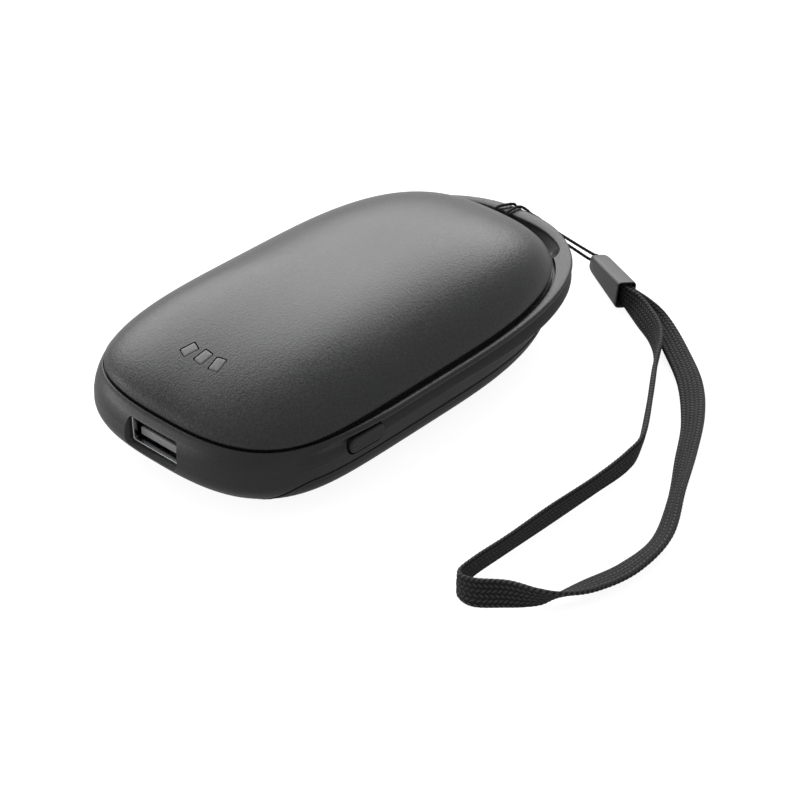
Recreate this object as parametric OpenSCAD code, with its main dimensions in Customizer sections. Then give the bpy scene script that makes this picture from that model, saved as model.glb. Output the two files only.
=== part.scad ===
// Rechargeable hand warmer: a pebble shaped case with a USB socket in one end,
// a lanyard ring at the other, and a woven wrist strap on a thin cord.
// The socket end looks along -X, the ring along +X, the button along -Y. Base at z = 0.

/* [Case outline] */
// Room between the cells and the frame, on each long side
side_room = 8.5; // [8:0.1:12]
// Room between the end of the belly and the main board, at the socket end
front_room = 8.1; // [7.6:0.1:9]
// Room between the cells and the end of the belly, at the ring end
rear_room = 12.3; // [12:0.1:16]
// Belly, from the widest section to the ring end
belly_ring_reach = 50.5; // [46:0.1:56]
// Dome in from the belly, along the sides
dome_in_side = 0.8; // [0.4:0.1:1.2]
// Dome in from the belly, at the socket end
dome_in_usb = 3; // [2.4:0.1:3.6]
// Dome out from the belly, at the ring end
dome_out_ring = 1.9; // [1.2:0.1:2.4]
// Squareness of the socket end, 2 is an ellipse
usb_end_power = 5.8; // [4:0.1:7]
// Squareness of the ring end, 2 is an ellipse
ring_end_power = 2.9; // [2.6:0.1:3.6]
// Squareness of the long sides, 2 is an ellipse
side_power = 2.7; // [2.4:0.1:3.4]

/* [Case heights] */
// Height of the widest line of the belly
belly_z = 9.3; // [8.8:0.1:10]
// Parting line of the bottom shell along the sides
parting_z = 8.6; // [8:0.1:8.8]
// Parting line of the bottom shell under the socket
parting_usb_z = 3; // [2.6:0.1:4]
// Underside of the lanyard ring
ring_under_z = 11.4; // [11:0.1:12]
// Top of the ledge round the dome
ledge_z = 15.8; // [15.2:0.1:16.4]
// Height of the dome over the cells
over_cells = 5.5; // [5.3:0.1:8]
// Rise of the base curve from the flat to the belly, as a share of full roundness
base_round = 9.9; // [9.6:0.1:11]

/* [Frame] */
// Ledge beside the dome, along the sides
ledge_side = 1.8; // [1.4:0.1:2.6]
// Ledge beside the dome, at the socket end
ledge_usb = 1.3; // [1:0.1:2]
// Ledge beyond the dome at the ring end, lanyard ring included
ledge_ring = 6.2; // [5.8:0.1:8]
// Depth of the groove under the lip
groove = 0.5; // [0.2:0.1:0.9]
// Height of the lip over the groove
lip_h = 1.9; // [1.4:0.1:2.4]
// Wall of the frame
frame_wall = 2.7; // [2.2:0.1:3]
// Half length of the lanyard slot
slot_half = 17.3; // [12:0.1:19]
// Width of the bar outside the lanyard slot
ring_bar = 2.2; // [1.8:0.1:2.6]
// How far the middle of the ring swells out beyond its outline
ring_swell = 1.3; // [0:0.1:2]
// Half length of that swelling
ring_swell_half = 20.5; // [18:0.1:24]
// How far the slot reaches in under the dome
slot_undercut = 0.6; // [0.2:0.1:1]

/* [Shells] */
// Wall of the dome
dome_wall = 1.6; // [1.2:0.1:2]
// Wall and floor of the bottom shell
bottom_wall = 1.8; // [1.4:0.1:2.2]
// Gap along the parting line
parting_gap = 0.1; // [0.05:0.01:0.2]
// Height of the seal under the dome
seal_h = 0.4; // [0.3:0.05:0.6]
// Width of the seal
seal_w = 0.9; // [0.6:0.1:1.2]
// Inset of the seal from the edge of the dome
seal_inset = 0.9; // [0.6:0.1:1.1]

/* [Case screws] */
// Thread of the case screws
screw_d = 2; // [1.6:0.1:2.4]
// Length under the head
screw_len = 12; // [10.5:0.5:12.5]
// Head of the case screws
screw_head_d = 3.8; // [3:0.1:4.2]
// Height of the head
screw_head_h = 1.5; // [1.2:0.1:1.8]
// Height of the seat under the head
screw_seat_z = 5.6; // [4.6:0.1:5.8]
// Outside of the posts that the screws pass
post_d = 4.4; // [4:0.1:4.8]
// Wall round the sunk heads
post_foot_wall = 1; // [0.8:0.1:1.2]
// Height where the posts of the two shells meet
post_meet_z = 11.2; // [10.6:0.1:11.8]
// Socket end screws, in from the end of the belly
post_usb_in = 15.6; // [15:0.1:16.2]
// Socket end screws, in from the side of the belly
post_usb_side_in = 11.5; // [11:0.1:12]
// Ring end screws, in from the end of the belly
post_ring_in = 8.5; // [7.8:0.1:8.8]
// Ring end screws, in from the side of the belly
post_ring_side_in = 15.3; // [14.9:0.1:16.2]

/* [Power button] */
// Length of the button
button_len = 10.4; // [8:0.1:12]
// Height of the button
button_h = 3.8; // [3.2:0.1:4]
// Button, in from the socket end of the belly
button_in = 28.4; // [27.4:0.1:29.8]
// Middle height of the button
button_z = 11.8; // [11.5:0.1:12]
// Gap round the button
button_gap = 0.2; // [0.15:0.01:0.3]
// How far the button stands out of the wall
button_proud = 0.15; // [0:0.01:0.4]
// Travel of the button
button_travel = 0.35; // [0.2:0.01:0.4]
// Rim of the flange behind the wall
flange_rim = 0.9; // [0.6:0.1:1.2]
// Thickness of the flange
flange_t = 0.8; // [0.6:0.1:1]

/* [Switch] */
// Width of the side switch
switch_w = 6; // [5:0.1:7]
// Depth of the side switch
switch_depth = 3.4; // [3:0.1:3.8]
// Height of the side switch
switch_h = 3; // [2.6:0.1:3.2]
// Diameter of the plunger
plunger_d = 1.6; // [1.2:0.1:2]
// Plunger outside the switch body
plunger_out = 0.9; // [0.7:0.1:1.2]
// Plunger inside the switch body
plunger_in = 1.6; // [1.2:0.1:2]
// Running clearance of the plunger
plunger_fit = 0.05; // [0.02:0.01:0.1]

/* [USB socket] */
// Width of the socket opening
usb_w = 12.5; // [12.3:0.1:12.9]
// Height of the socket opening
usb_h = 5.1; // [5:0.1:5.3]
// Sheet metal of the socket
usb_sheet = 0.3; // [0.2:0.05:0.4]
// Length of the socket shell
usb_len = 14; // [13:0.1:15]
// Middle of the socket across the case
usb_y = 0.4; // [0:0.1:2]
// Middle of the socket above the widest section
usb_rise = 1.9; // [1.2:0.1:2.2]
// How far the socket sits in from the end of the case
usb_setback = 1.6; // [1.2:0.1:2.4]
// Clearance round the socket shell
usb_fit = 0.15; // [0.1:0.01:0.25]
// Width of the soft recess round the socket
usb_recess = 0.9; // [0.5:0.1:1.2]
// Depth of the soft recess round the socket
usb_recess_depth = 1.2; // [0.8:0.1:1.8]
// Width of the tongue
tongue_w = 11.1; // [10.8:0.1:11.4]
// Thickness of the tongue
tongue_t = 1.8; // [1.6:0.1:2]
// Space under the tongue
tongue_lift = 0.7; // [0.5:0.1:0.9]
// Tongue set back from the rim of the socket
tongue_setback = 1.3; // [1.2:0.1:2.4]
// Block at the root of the tongue
tongue_root = 2.2; // [1.6:0.1:3]
// Width of a contact
contact_w = 1; // [0.8:0.1:1.2]
// Thickness of a contact
contact_t = 0.2; // [0.15:0.01:0.3]
// Bare end of the tongue behind the contacts
contact_end = 1.1; // [0.6:0.1:2]
// Step between the two middle contacts
contact_step = 2; // [1.8:0.1:2.2]
// Step from a middle contact to an outer one
contact_outer_step = 2.5; // [2.3:0.1:2.7]

/* [Charging inlet] */
// Width of the inlet shell
inlet_w = 7.6; // [7:0.1:8]
// Height of the inlet shell
inlet_h = 2.6; // [2.4:0.1:2.8]
// Depth of the inlet shell
inlet_depth = 5.6; // [5:0.1:6]
// Sheet metal of the inlet
inlet_sheet = 0.25; // [0.2:0.01:0.3]
// Inlet, in from the socket end of the belly
inlet_in = 21.4; // [21.4:0.1:23.8]
// Clearance round the inlet shell
inlet_fit = 0.15; // [0.1:0.01:0.25]
// How far the inlet sits in from the wall
inlet_setback = 0.8; // [0.4:0.1:1.2]

/* [Boards and chips] */
// Thickness of the main board
board_t = 1.2; // [1:0.1:1.4]
// Length of the main board
board_len = 15.9; // [15.6:0.1:17]
// Space between the main board and the screw posts
board_post_gap = 0.6; // [0.4:0.1:1]
// Thread of the board screws
board_screw_d = 1.6; // [1.2:0.1:1.8]
// Length of the board screws under the head
board_screw_len = 4; // [3.5:0.5:6]
// Post under each board screw
board_post_d = 4; // [3.6:0.1:4.4]
// Board screws, in from the side edges of the board
board_post_in = 2.4; // [2.2:0.1:3]
// Side of the control chip
control_chip_side = 5; // [4:0.1:6]
// Side of the power chip
power_chip_side = 4; // [3:0.1:5]
// Height of the chips
chip_h = 0.9; // [0.8:0.1:1.2]
// Side of the boost inductor
inductor_side = 5.6; // [5:0.1:6]
// Height of the boost inductor
inductor_h = 2.8; // [2:0.1:3]
// Length of a capacitor
capacitor_len = 2; // [1.6:0.1:3]
// Width and height of a capacitor
capacitor_side = 1.2; // [0.8:0.1:1.4]
// Corner pins and bevels of small parts
small_step = 0.4; // [0.3:0.05:0.5]

/* [Indicator windows] */
// Windows, in from the socket end of the belly
window_in = 15.3; // [14:0.1:16]
// Length of a window along the case
window_len = 2.6; // [2:0.1:3]
// Width of a window across the case
window_w = 2.1; // [1.6:0.1:2.4]
// Step from window to window
window_step = 3.9; // [3.4:0.1:4.4]
// Middle window, across the case
window_y = 0.6; // [0:0.1:1.5]
// Turn of the whole row of windows
window_turn = -7; // [-10:1:0]
// Turn from window to window
window_fan = 16; // [0:1:20]
// Gap round the windows
window_gap = 0.1; // [0.05:0.01:0.2]
// Height of a light chip on the board
led_h = 0.7; // [0.5:0.1:1]
// Side of a light chip
led_side = 2; // [1.6:0.1:2.2]
// Air between a light chip and the light guide
led_air = 0.3; // [0.2:0.1:0.5]
// Thickness of the bar that joins the three tips
guide_bar_t = 1.4; // [1:0.1:2]
// Height of that bar over the light chips
guide_bar_rise = 2.4; // [2:0.1:3]

/* [Cells] */
// Diameter of a cell
cell_d = 18.4; // [18:0.1:18.6]
// Length of a cell
cell_len = 65; // [64:0.1:65.4]
// Space between the two cells
cell_space = 0.6; // [0.4:0.1:0.8]
// Space between the main board and the cells
cell_front_gap = 1; // [0.8:0.1:1.2]
// Height of the cells over the floor
cell_lift = 2.3; // [2:0.1:2.4]
// Clearance of the cells in their carrier
cell_fit = 0.1; // [0.05:0.01:0.2]
// Length of the carrier
carrier_len = 46; // [40:1:47]
// Height of the carrier
carrier_h = 7.4; // [5:0.1:9]
// Half width of the carrier
carrier_half = 18.2; // [17.6:0.1:18.8]
// Nickel strip over the cell ends, width
strip_w = 8; // [6:0.1:9]
// Nickel strip, thickness
strip_t = 0.2; // [0.15:0.01:0.3]
// Nickel strip, length across both cells
strip_span = 27; // [24:0.1:30]
// Diameter of the cell leads
lead_d = 1.2; // [1:0.1:1.4]

/* [Heater] */
// Thickness of the heater film
film_t = 0.3; // [0.2:0.05:0.4]
// Space between the dome and the film
film_gap = 0.1; // [0.05:0.01:0.2]
// Space between the film and the foam pad
foam_gap = 0.1; // [0.05:0.01:0.2]
// Diameter of the heater leads
heater_lead_d = 1; // [0.8:0.1:1.2]
// Length of the temperature sensor
sensor_len = 3.4; // [3:0.1:4]
// Width of the temperature sensor
sensor_w = 1.8; // [1.5:0.1:2.2]
// Height of the temperature sensor
sensor_h = 0.9; // [0.7:0.1:1.2]

/* [Lanyard] */
// Diameter of the lanyard cord
cord_d = 0.7; // [0.5:0.05:0.8]
// Width of the woven strap
strap_w = 5.2; // [4.4:0.1:5.4]
// Thickness of the woven strap
strap_t = 1; // [0.8:0.05:1.05]
// Length of the strap sleeve
sleeve_len = 17.4; // [16:0.1:18]
// Width of the strap sleeve
sleeve_w = 4.5; // [4.2:0.1:4.6]
// Height of the sleeve at its mouth
sleeve_mouth_h = 6.3; // [6:0.1:6.4]
// Height of the sleeve at the cord end
sleeve_cord_h = 3.8; // [3.4:0.1:4]
// Wall of the sleeve
sleeve_wall = 0.4; // [0.3:0.05:0.4]
// Width of the cord hole in the sleeve
sleeve_hole_w = 2.4; // [2.2:0.1:2.6]
// Height of the cord hole in the sleeve
sleeve_hole_h = 2; // [1.8:0.1:2]
// Length of the solid end round the cord hole
sleeve_end = 2; // [1.5:0.1:3]
// Roll of the sleeve where it lies
sleeve_roll = 7; // [0:1:12]

/* [Hidden] */
$fn = 48;

// How far a cut runs past the face that it opens
cut = 1;
// Points round the case outline
around = 80;
// The case is built round the board and the cells, one behind the other
belly_usb_reach = front_room + board_len + cell_front_gap + cell_len + rear_room - belly_ring_reach;
belly_half_width = cell_d + cell_space / 2 + side_room + frame_wall;
dome_usb_reach = belly_usb_reach - dome_in_usb;
dome_ring_reach = belly_ring_reach + dome_out_ring;
dome_half_width = belly_half_width - dome_in_side;
// The widest section of the case lies here, so that the whole case is centred on x = 0
widest_x = (belly_usb_reach - dome_ring_reach - ledge_ring - ring_swell) / 2;

dome_outline = [dome_usb_reach, dome_ring_reach, dome_half_width];
belly_outline = [belly_usb_reach, belly_ring_reach, belly_half_width];
ledge_outline = dome_outline + [ledge_usb, ledge_ring, ledge_side];
frame_inside = [belly_usb_reach - frame_wall * 1.8, belly_ring_reach - frame_wall / 3,
    belly_half_width - frame_wall];

rim_z = ledge_z + seal_h;
dome_top_z = bottom_wall + cell_lift + cell_d + over_cells;
// Short upright edge of the dome
dome_edge = seal_h / 2;
dome_rise = dome_top_z - rim_z - dome_edge;
// Exponents of the dome's section, and how far its summit leans towards the ring end
dome_power = 3.1;
dome_rise_power = 0.74;
dome_lean_share = 0.226;
dome_lean = dome_ring_reach * dome_lean_share;
// Exponent of the base's section
base_power = 4.4;

// Outline of the case seen from above, as a point at angle t
function reach(o, c) = c < 0 ? o[0] : o[1];
function end_power(c) = c < 0 ? usb_end_power : ring_end_power;
function outline_mass(c, s) = pow(abs(c), end_power(c)) + pow(abs(s), side_power);
function outline_x(o, c, s) = reach(o, c) * c / pow(outline_mass(c, s), 1 / end_power(c));
function outline_y(o, c, s) = o[2] * s / pow(outline_mass(c, s), 1 / side_power);
function outline(o, n) = [for (i = [0 : n - 1])
    let (t = 360 * i / n)
    [widest_x + outline_x(o, cos(t), sin(t)), outline_y(o, cos(t), sin(t))]];
// Half width of an outline at a place x, and its end at a place y
function side_at(o, x) = let (c = x - widest_x)
    o[2] * pow(1 - pow(abs(c) / reach(o, c), end_power(c)), 1 / side_power);
function usb_end_at(o, y) = widest_x
    - o[0] * pow(1 - pow(abs(y) / o[2], side_power), 1 / usb_end_power);
function ring_end_at(o, y) = widest_x
    + o[1] * pow(1 - pow(abs(y) / o[2], side_power), 1 / ring_end_power);
function ring_row(o, z, n = around) = [for (p = outline(o, n)) [p[0], p[1], z]];

// Section of the base: share of the belly's outline at a height
function base_share(z) = z >= belly_z ? 1
    : pow(1 - pow((belly_z - z) / base_round, 2), 1 / base_power);
// The parting line drops under the socket
parting_start = widest_x - belly_usb_reach * 0.99;
parting_end = widest_x - belly_usb_reach * 0.7;
function smooth(u) = let (v = min(1, max(0, u))) v * v * (3 - 2 * v);
function parting_at(x) = parting_usb_z
    + (parting_z - parting_usb_z) * smooth((x - parting_start) / (parting_end - parting_start));

// One skin through rows of points. Open ends are closed flat, a loop joins the last row to the first
module skin(rows, loop = false) {
    n = len(rows[0]);
    m = len(rows);
    sides = [for (k = [0 : (loop ? m - 1 : m - 2)])
        for (i = [0 : n - 1])
        let (j = (i + 1) % n)
        let (k2 = (k + 1) % m)
        each [[k * n + i, k2 * n + i, k2 * n + j], [k * n + i, k2 * n + j, k * n + j]]];
    ends = loop ? [] : [[for (i = [0 : n - 1]) i], [for (i = [n - 1 : -1 : 0]) (m - 1) * n + i]];
    polyhedron(points = [for (r = rows) each r], faces = concat(sides, ends), convexity = 8);
}

// Dome rows from the rim up. r is the share of the rim's outline
dome_shares = [1, 0.994, 0.98, 0.955, 0.92, 0.87, 0.8, 0.71, 0.6, 0.46, 0.3, 0.12];
function dome_level(r, rise) = rise * pow(1 - pow(r, dome_power), dome_rise_power);
function dome_row(o, r, z, n) = [for (p = outline(o, n))
    [widest_x + (p[0] - widest_x) * r + dome_lean * (1 - r), p[1] * r, z]];
module dome_solid(o, rise, foot) {
    skin(concat([ring_row(o, foot)],
        [for (r = dome_shares) dome_row(o, r, rim_z + dome_edge + dome_level(r, rise), around)]));
}
module dome_outside() {
    dome_solid(dome_outline, dome_rise, rim_z);
}
dome_inside_outline = dome_outline - [dome_wall, dome_wall, dome_wall];
module dome_inside() {
    dome_solid(dome_inside_outline, dome_rise - dome_wall, rim_z - cut);
}

post_usb_x = widest_x - belly_usb_reach + post_usb_in;
post_ring_x = widest_x + belly_ring_reach - post_ring_in;
post_usb_half = belly_half_width - post_usb_side_in;
post_ring_half = belly_half_width - post_ring_side_in;
post_places = [[post_usb_x, post_usb_half], [post_usb_x, -post_usb_half],
    [post_ring_x, post_ring_half], [post_ring_x, -post_ring_half]];
thread_fit = 0.03;
screw_gap = 0.15;
post_gap = 0.1;
window_x = widest_x - belly_usb_reach + window_in;

// The three windows: places and turns
module at_windows() {
    for (i = [-1 : 1])
        translate([window_x, window_y + i * window_step, 0])
        rotate([0, 0, window_turn - i * window_fan])
        children();
}
module window_bar(len, wid, low, high) {
    translate([-len / 2, -wid / 2, low])
        cube([len, wid, high - low]);
}

module top_shell() color("#3b3c3f") {
    difference() {
        union() {
            difference() {
                dome_outside();
                difference() {
                    dome_inside();
                    for (p = post_places)
                        translate([p[0], p[1], rim_z])
                        cylinder(d = post_d, h = dome_rise);
                }
            }
            for (p = post_places)
                translate([p[0], p[1], post_meet_z + post_gap])
                cylinder(d = post_d, h = rim_z - post_meet_z - post_gap + seal_h);
        }
        for (p = post_places)
            translate([p[0], p[1], post_meet_z - cut])
            cylinder(d = screw_d + 2 * thread_fit,
                h = screw_seat_z + screw_len - post_meet_z + cut + screw_gap);
        at_windows()
            window_bar(window_len + 2 * window_gap, window_w + 2 * window_gap, rim_z, dome_top_z + cut);
    }
}

// Frame rows from the parting line up, over the lip and down inside
frame_low_shares = [0, 0.3, 0.6, 0.85];
swell_z = belly_z + seal_h;
function frame_low_row(u) = [for (p = outline(belly_outline, around))
    let (low = parting_at(p[0]) + parting_gap / 2)
    let (z = low + (swell_z - low) * u)
    let (s = base_share(z))
    [widest_x + (p[0] - widest_x) * s, p[1] * s, z]];
// Inside of the frame at a height, kept one wall in from the base's curve
function frame_inner_point(i, z) =
    let (o = [for (k = [0 : 2]) min(frame_inside[k], belly_outline[k] * base_share(z) - frame_wall * 0.8)])
    let (t = 360 * i / around)
    [widest_x + outline_x(o, cos(t), sin(t)), outline_y(o, cos(t), sin(t)), z];
function frame_inner_row(u) = let (ps = outline(belly_outline, around))
    [for (i = [0 : around - 1])
    let (low = parting_at(ps[i][0]) + 2 * parting_gap)
    frame_inner_point(i, low + (swell_z - low) * u)];
// The frame's foot lies over the whole rim of the bottom shell
frame_foot_row = [for (p = bottom_inner_row(1)) [p[0], p[1], p[2] + parting_gap]];
ring_tip = ledge_outline[1];
lip_z = ledge_z - lip_h;
edge_round = seal_h;
function pinched(o, d) = o - [d, d, d];
// Rows of the ring swell out in the middle
function swell_at(y) = ring_swell * pow(max(0, 1 - pow(y / ring_swell_half, 2)), 2);
function swelled_row(o, z) = [for (p = outline(o, around))
    [p[0] + (p[0] > widest_x ? swell_at(p[1]) : 0), p[1], z]];
frame_rows = concat(
    [for (u = frame_low_shares) frame_low_row(u)],
    [ring_row(belly_outline, swell_z),
    ring_row([belly_outline[0] - edge_round / 2, belly_outline[1] + edge_round / 2,
        belly_outline[2] - edge_round / 8], ring_under_z - edge_round / 2),
    swelled_row([belly_outline[0] - edge_round / 2, ring_tip - 3 * edge_round,
        belly_outline[2] - edge_round / 8], ring_under_z),
    swelled_row([belly_outline[0] - edge_round, ring_tip - edge_round, belly_outline[2] - edge_round / 4],
        ring_under_z + edge_round),
    swelled_row([belly_outline[0] - edge_round * 2, ring_tip - edge_round / 4,
        belly_outline[2] - groove * 0.4], ring_under_z + edge_round * 2.5),
    swelled_row([ledge_outline[0] + edge_round / 2, ring_tip - edge_round / 4,
        belly_outline[2] - groove * 0.6], lip_z - edge_round),
    swelled_row([ledge_outline[0] + edge_round / 4, ring_tip - edge_round / 4,
        belly_outline[2] - groove * 0.4], lip_z),
    swelled_row([ledge_outline[0] + edge_round / 4, ring_tip, ledge_outline[2] - groove * 0.6],
        lip_z + edge_round),
    swelled_row(ledge_outline, lip_z + 2.5 * edge_round),
    swelled_row(pinched(ledge_outline, edge_round * 0.2), ledge_z - edge_round),
    swelled_row(pinched(ledge_outline, edge_round * 0.6), ledge_z - edge_round * 0.3),
    swelled_row(pinched(ledge_outline, edge_round * 1.4), ledge_z),
    ring_row(frame_inside, ledge_z)],
    [for (k = [len(frame_low_shares) - 1 : -1 : 0]) frame_inner_row(frame_low_shares[k])],
    [frame_foot_row]);

// Lanyard slot: a crescent between two outlines, with round ends
slot_in_outline = pinched(dome_outline, slot_undercut);
slot_out_outline = pinched(ledge_outline, ring_bar);
slot_steps = 24;
function slot_width_at(y) = ring_end_at(slot_out_outline, y) - ring_end_at(slot_in_outline, y);
function slot_middle_at(y) = (ring_end_at(slot_out_outline, y) + ring_end_at(slot_in_outline, y)) / 2;
slot_end_r = slot_width_at(slot_half) / 2;
function slot_open(y) = let (over = max(0, abs(y) - (slot_half - slot_end_r)) / slot_end_r)
    sqrt(max(0, 1 - over * over));
// Steps lie closer together near the ends
slot_ys = [for (i = [-slot_steps : slot_steps]) slot_half * sin(90 * i / slot_steps)];
slot_shape = concat(
    [for (y = slot_ys) [slot_middle_at(y) + slot_open(y) * slot_width_at(y) / 2, y]],
    [for (i = [len(slot_ys) - 2 : -1 : 1])
        [slot_middle_at(slot_ys[i]) - slot_open(slot_ys[i]) * slot_width_at(slot_ys[i]) / 2, slot_ys[i]]]);

// Stadium shape of the button, lying in the XY plane
module stadium(len, high) {
    union() {
        square([len - high, high], center = true);
        translate([(len - high) / 2, 0])
            circle(d = high);
        translate([(high - len) / 2, 0])
            circle(d = high);
    }
}
// Rectangle with round corners, as points
corner_steps = 4;
function round_box(w, h, r) = [for (q = [0 : 3])
    for (k = [0 : corner_steps])
    let (a = 90 * (q + k / corner_steps))
    let (sx = (q == 0 || q == 3) ? 1 : -1)
    let (sy = q < 2 ? 1 : -1)
    [sx * (w / 2 - r) + r * cos(a), sy * (h / 2 - r) + r * sin(a)]];

button_x = widest_x - belly_usb_reach + button_in;
button_wall_y = side_at(frame_inside, button_x - button_len / 2);
usb_end_x = usb_end_at(belly_outline, usb_y);
usb_rim_x = usb_end_x + usb_setback;
usb_outer_w = usb_w + 2 * usb_sheet;
usb_outer_h = usb_h + 2 * usb_sheet;
usb_corner = 2 * usb_sheet;
// The board lies on the socket shell, which hangs under it
usb_z = belly_z + usb_rise;
board_z = usb_z + usb_outer_h / 2;
board_top_z = board_z + board_t;
inlet_x = widest_x - belly_usb_reach + inlet_in;
inlet_face_y = side_at(belly_outline, inlet_x) - inlet_setback;
inlet_z = board_z - inlet_h / 2;

module usb_prism(w, h, r, from, to) {
    translate([from, usb_y, usb_z])
        rotate([90, 0, 90])
        linear_extrude(to - from)
        polygon(round_box(w, h, r));
}

module mid_frame() color("#1a1a1c") {
    difference() {
        skin(frame_rows, true);
        translate([0, 0, ring_under_z - cut])
            linear_extrude(ledge_z - ring_under_z + 2 * cut)
            polygon(slot_shape);
        usb_prism(usb_outer_w + 2 * usb_fit, usb_outer_h + 2 * usb_fit, usb_corner + usb_fit,
            usb_end_x - cut, usb_end_x + frame_wall * 2 + cut);
        skin([for (u = [-1, 0, 0.3, 0.65, 1])
            let (grow = usb_recess * (1 - sqrt(1 - pow(1 - max(0, u), 2))) + usb_recess * max(0, -u) * 0.2)
            [for (p = round_box(usb_outer_w + 2 * (usb_fit + grow), usb_outer_h + 2 * (usb_fit + grow),
                usb_corner + usb_fit + grow))
            [usb_end_x + u * usb_recess_depth, usb_y + p[0], usb_z + p[1]]]]);
        translate([button_x, -button_wall_y + cut * 3, button_z])
            rotate([90, 0, 0])
            linear_extrude(2 * frame_wall + 3 * cut)
            stadium(button_len + 2 * button_gap, button_h + 2 * button_gap);
        translate([inlet_x - inlet_w / 2 - inlet_fit, side_at(frame_inside, inlet_x) - cut * 2,
            inlet_z - inlet_h / 2 - inlet_fit])
            cube([inlet_w + 2 * inlet_fit, frame_wall + 4 * cut, inlet_h + 2 * inlet_fit]);
    }
}

// Bottom shell: rows outside from the flat base to the parting line, then down inside to the floor
bottom_shares = [0, 0.03, 0.1, 0.22, 0.4, 0.62, 0.82, 1];
bottom_inner_shares = [1, 0.7, 0.4, 0.18, 0.05, 0];
function bottom_row(u) = [for (p = outline(belly_outline, around))
    let (z = (parting_at(p[0]) - parting_gap / 2) * u)
    let (s = base_share(z))
    [widest_x + (p[0] - widest_x) * s, p[1] * s, z]];
function bottom_inner_row(u) = let (ps = outline(belly_outline, around))
    [for (i = [0 : around - 1])
    let (high = parting_at(ps[i][0]) - parting_gap / 2)
    let (z = bottom_wall + (high - bottom_wall) * u)
    let (s = base_share(z))
    let (t = 360 * i / around)
    let (o = pinched(belly_outline * s, bottom_wall))
    [widest_x + outline_x(o, cos(t), sin(t)), outline_y(o, cos(t), sin(t)), z]];
board_half = post_usb_half - post_d / 2 - board_post_gap;
board_post_half = board_half - board_post_in;
board_front_x = widest_x - belly_usb_reach + front_room;
board_back_x = board_front_x + board_len;
board_post_x = (board_front_x + board_back_x) / 2;
board_post_places = [[board_post_x, board_post_half], [board_post_x, -board_post_half]];
// Solid that keeps the feet of the posts inside the base's curve
module base_plug() {
    skin(concat([for (u = [0.05, 0.1, 0.22, 0.4, 0.62, 0.82, 1])
        let (z = belly_z * u)
        ring_row(pinched(belly_outline * base_share(z), bottom_wall / 2), z, around / 2)],
        [ring_row(pinched(belly_outline, bottom_wall / 2), board_z + cut, around / 2)]));
}

module bottom_shell() color("#242527") {
    difference() {
        union() {
            skin(concat([for (u = bottom_shares) bottom_row(u)],
                [for (u = bottom_inner_shares) bottom_inner_row(u)]));
            intersection() {
                base_plug();
                union() {
                    for (p = post_places)
                        translate([p[0], p[1], 0])
                        cylinder(d = post_d, h = post_meet_z);
                    for (p = post_places)
                        translate([p[0], p[1], 0])
                        cylinder(d = screw_head_d + 2 * (screw_gap + post_foot_wall),
                            h = screw_seat_z + post_foot_wall);
                    for (p = board_post_places)
                        translate([p[0], p[1], 0])
                        cylinder(d = board_post_d, h = board_z);
                }
            }
        }
        for (p = post_places)
            translate([p[0], p[1], -cut])
            cylinder(d = screw_d + 2 * screw_gap, h = post_meet_z + 2 * cut);
        for (p = post_places)
            translate([p[0], p[1], -cut])
            cylinder(d = screw_head_d + 2 * screw_gap, h = screw_seat_z + cut);
        for (p = board_post_places)
            translate([p[0], p[1], board_z - board_screw_len])
            cylinder(d = board_screw_d + 2 * thread_fit, h = board_screw_len + cut);
    }
}

module seal_top() color("#0e0e0f") {
    outer = pinched(dome_outline, seal_inset);
    inner = pinched(dome_outline, seal_inset + seal_w);
    skin([ring_row(outer, ledge_z), ring_row(outer, rim_z), ring_row(inner, rim_z),
        ring_row(inner, ledge_z)], true);
}

// Light guide: three tips flush with the dome, one bar, three legs over the light chips
guide_low_z = board_top_z + led_h + led_air;
guide_bar_z = board_top_z + led_h + guide_bar_rise;
module light_guide() color("#c9cacc") {
    union() {
        intersection() {
            at_windows()
                window_bar(window_len, window_w, guide_bar_z + guide_bar_t / 2, dome_top_z);
            dome_outside();
        }
        translate([window_x - window_len / 2, window_y - window_step - window_w / 2, guide_bar_z])
            cube([window_len, 2 * window_step + window_w, guide_bar_t]);
        at_windows()
            window_bar(led_side, led_side, guide_low_z, guide_bar_z + guide_bar_t / 2);
    }
}

// Button cap, flange and the post that meets the plunger
switch_z = board_z - switch_h / 2;
flange_face_y = button_wall_y - button_gap;
flange_back_y = flange_face_y - flange_t;
module power_button() color("#2a2b2d") {
    union() {
        intersection() {
            translate([button_x, -flange_face_y + flange_t / 2, button_z])
                rotate([90, 0, 0])
                linear_extrude(frame_wall + 3 * cut)
                stadium(button_len, button_h);
            translate([0, 0, button_z - button_h])
                linear_extrude(2 * button_h)
                polygon(concat([[button_x + button_len, 0], [button_x - button_len, 0]],
                    [for (i = [-4 : 4]) let (x = button_x + i * button_len / 4)
                        [x, -side_at(belly_outline, x) - button_proud]]));
        }
        translate([button_x, -flange_back_y, button_z])
            rotate([90, 0, 0])
            linear_extrude(flange_t)
            stadium(button_len + 2 * flange_rim, button_h + 2 * flange_rim);
    }
}

// Side switch under the arm of the board
switch_face_y = flange_back_y - plunger_out;
module switch_body() color("#1c1c1c") {
    difference() {
        translate([button_x - switch_w / 2, -switch_face_y, board_z - switch_h])
            cube([switch_w, switch_depth, switch_h]);
        translate([button_x, -switch_face_y - cut, switch_z])
            rotate([-90, 0, 0])
            cylinder(d = plunger_d + 2 * plunger_fit, h = plunger_in + button_travel + cut + plunger_fit);
    }
}
module switch_plunger() color("#d8d8d8") {
    translate([button_x, -flange_back_y, switch_z])
        rotate([-90, 0, 0])
        cylinder(d = plunger_d, h = plunger_out + plunger_in);
}

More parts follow.
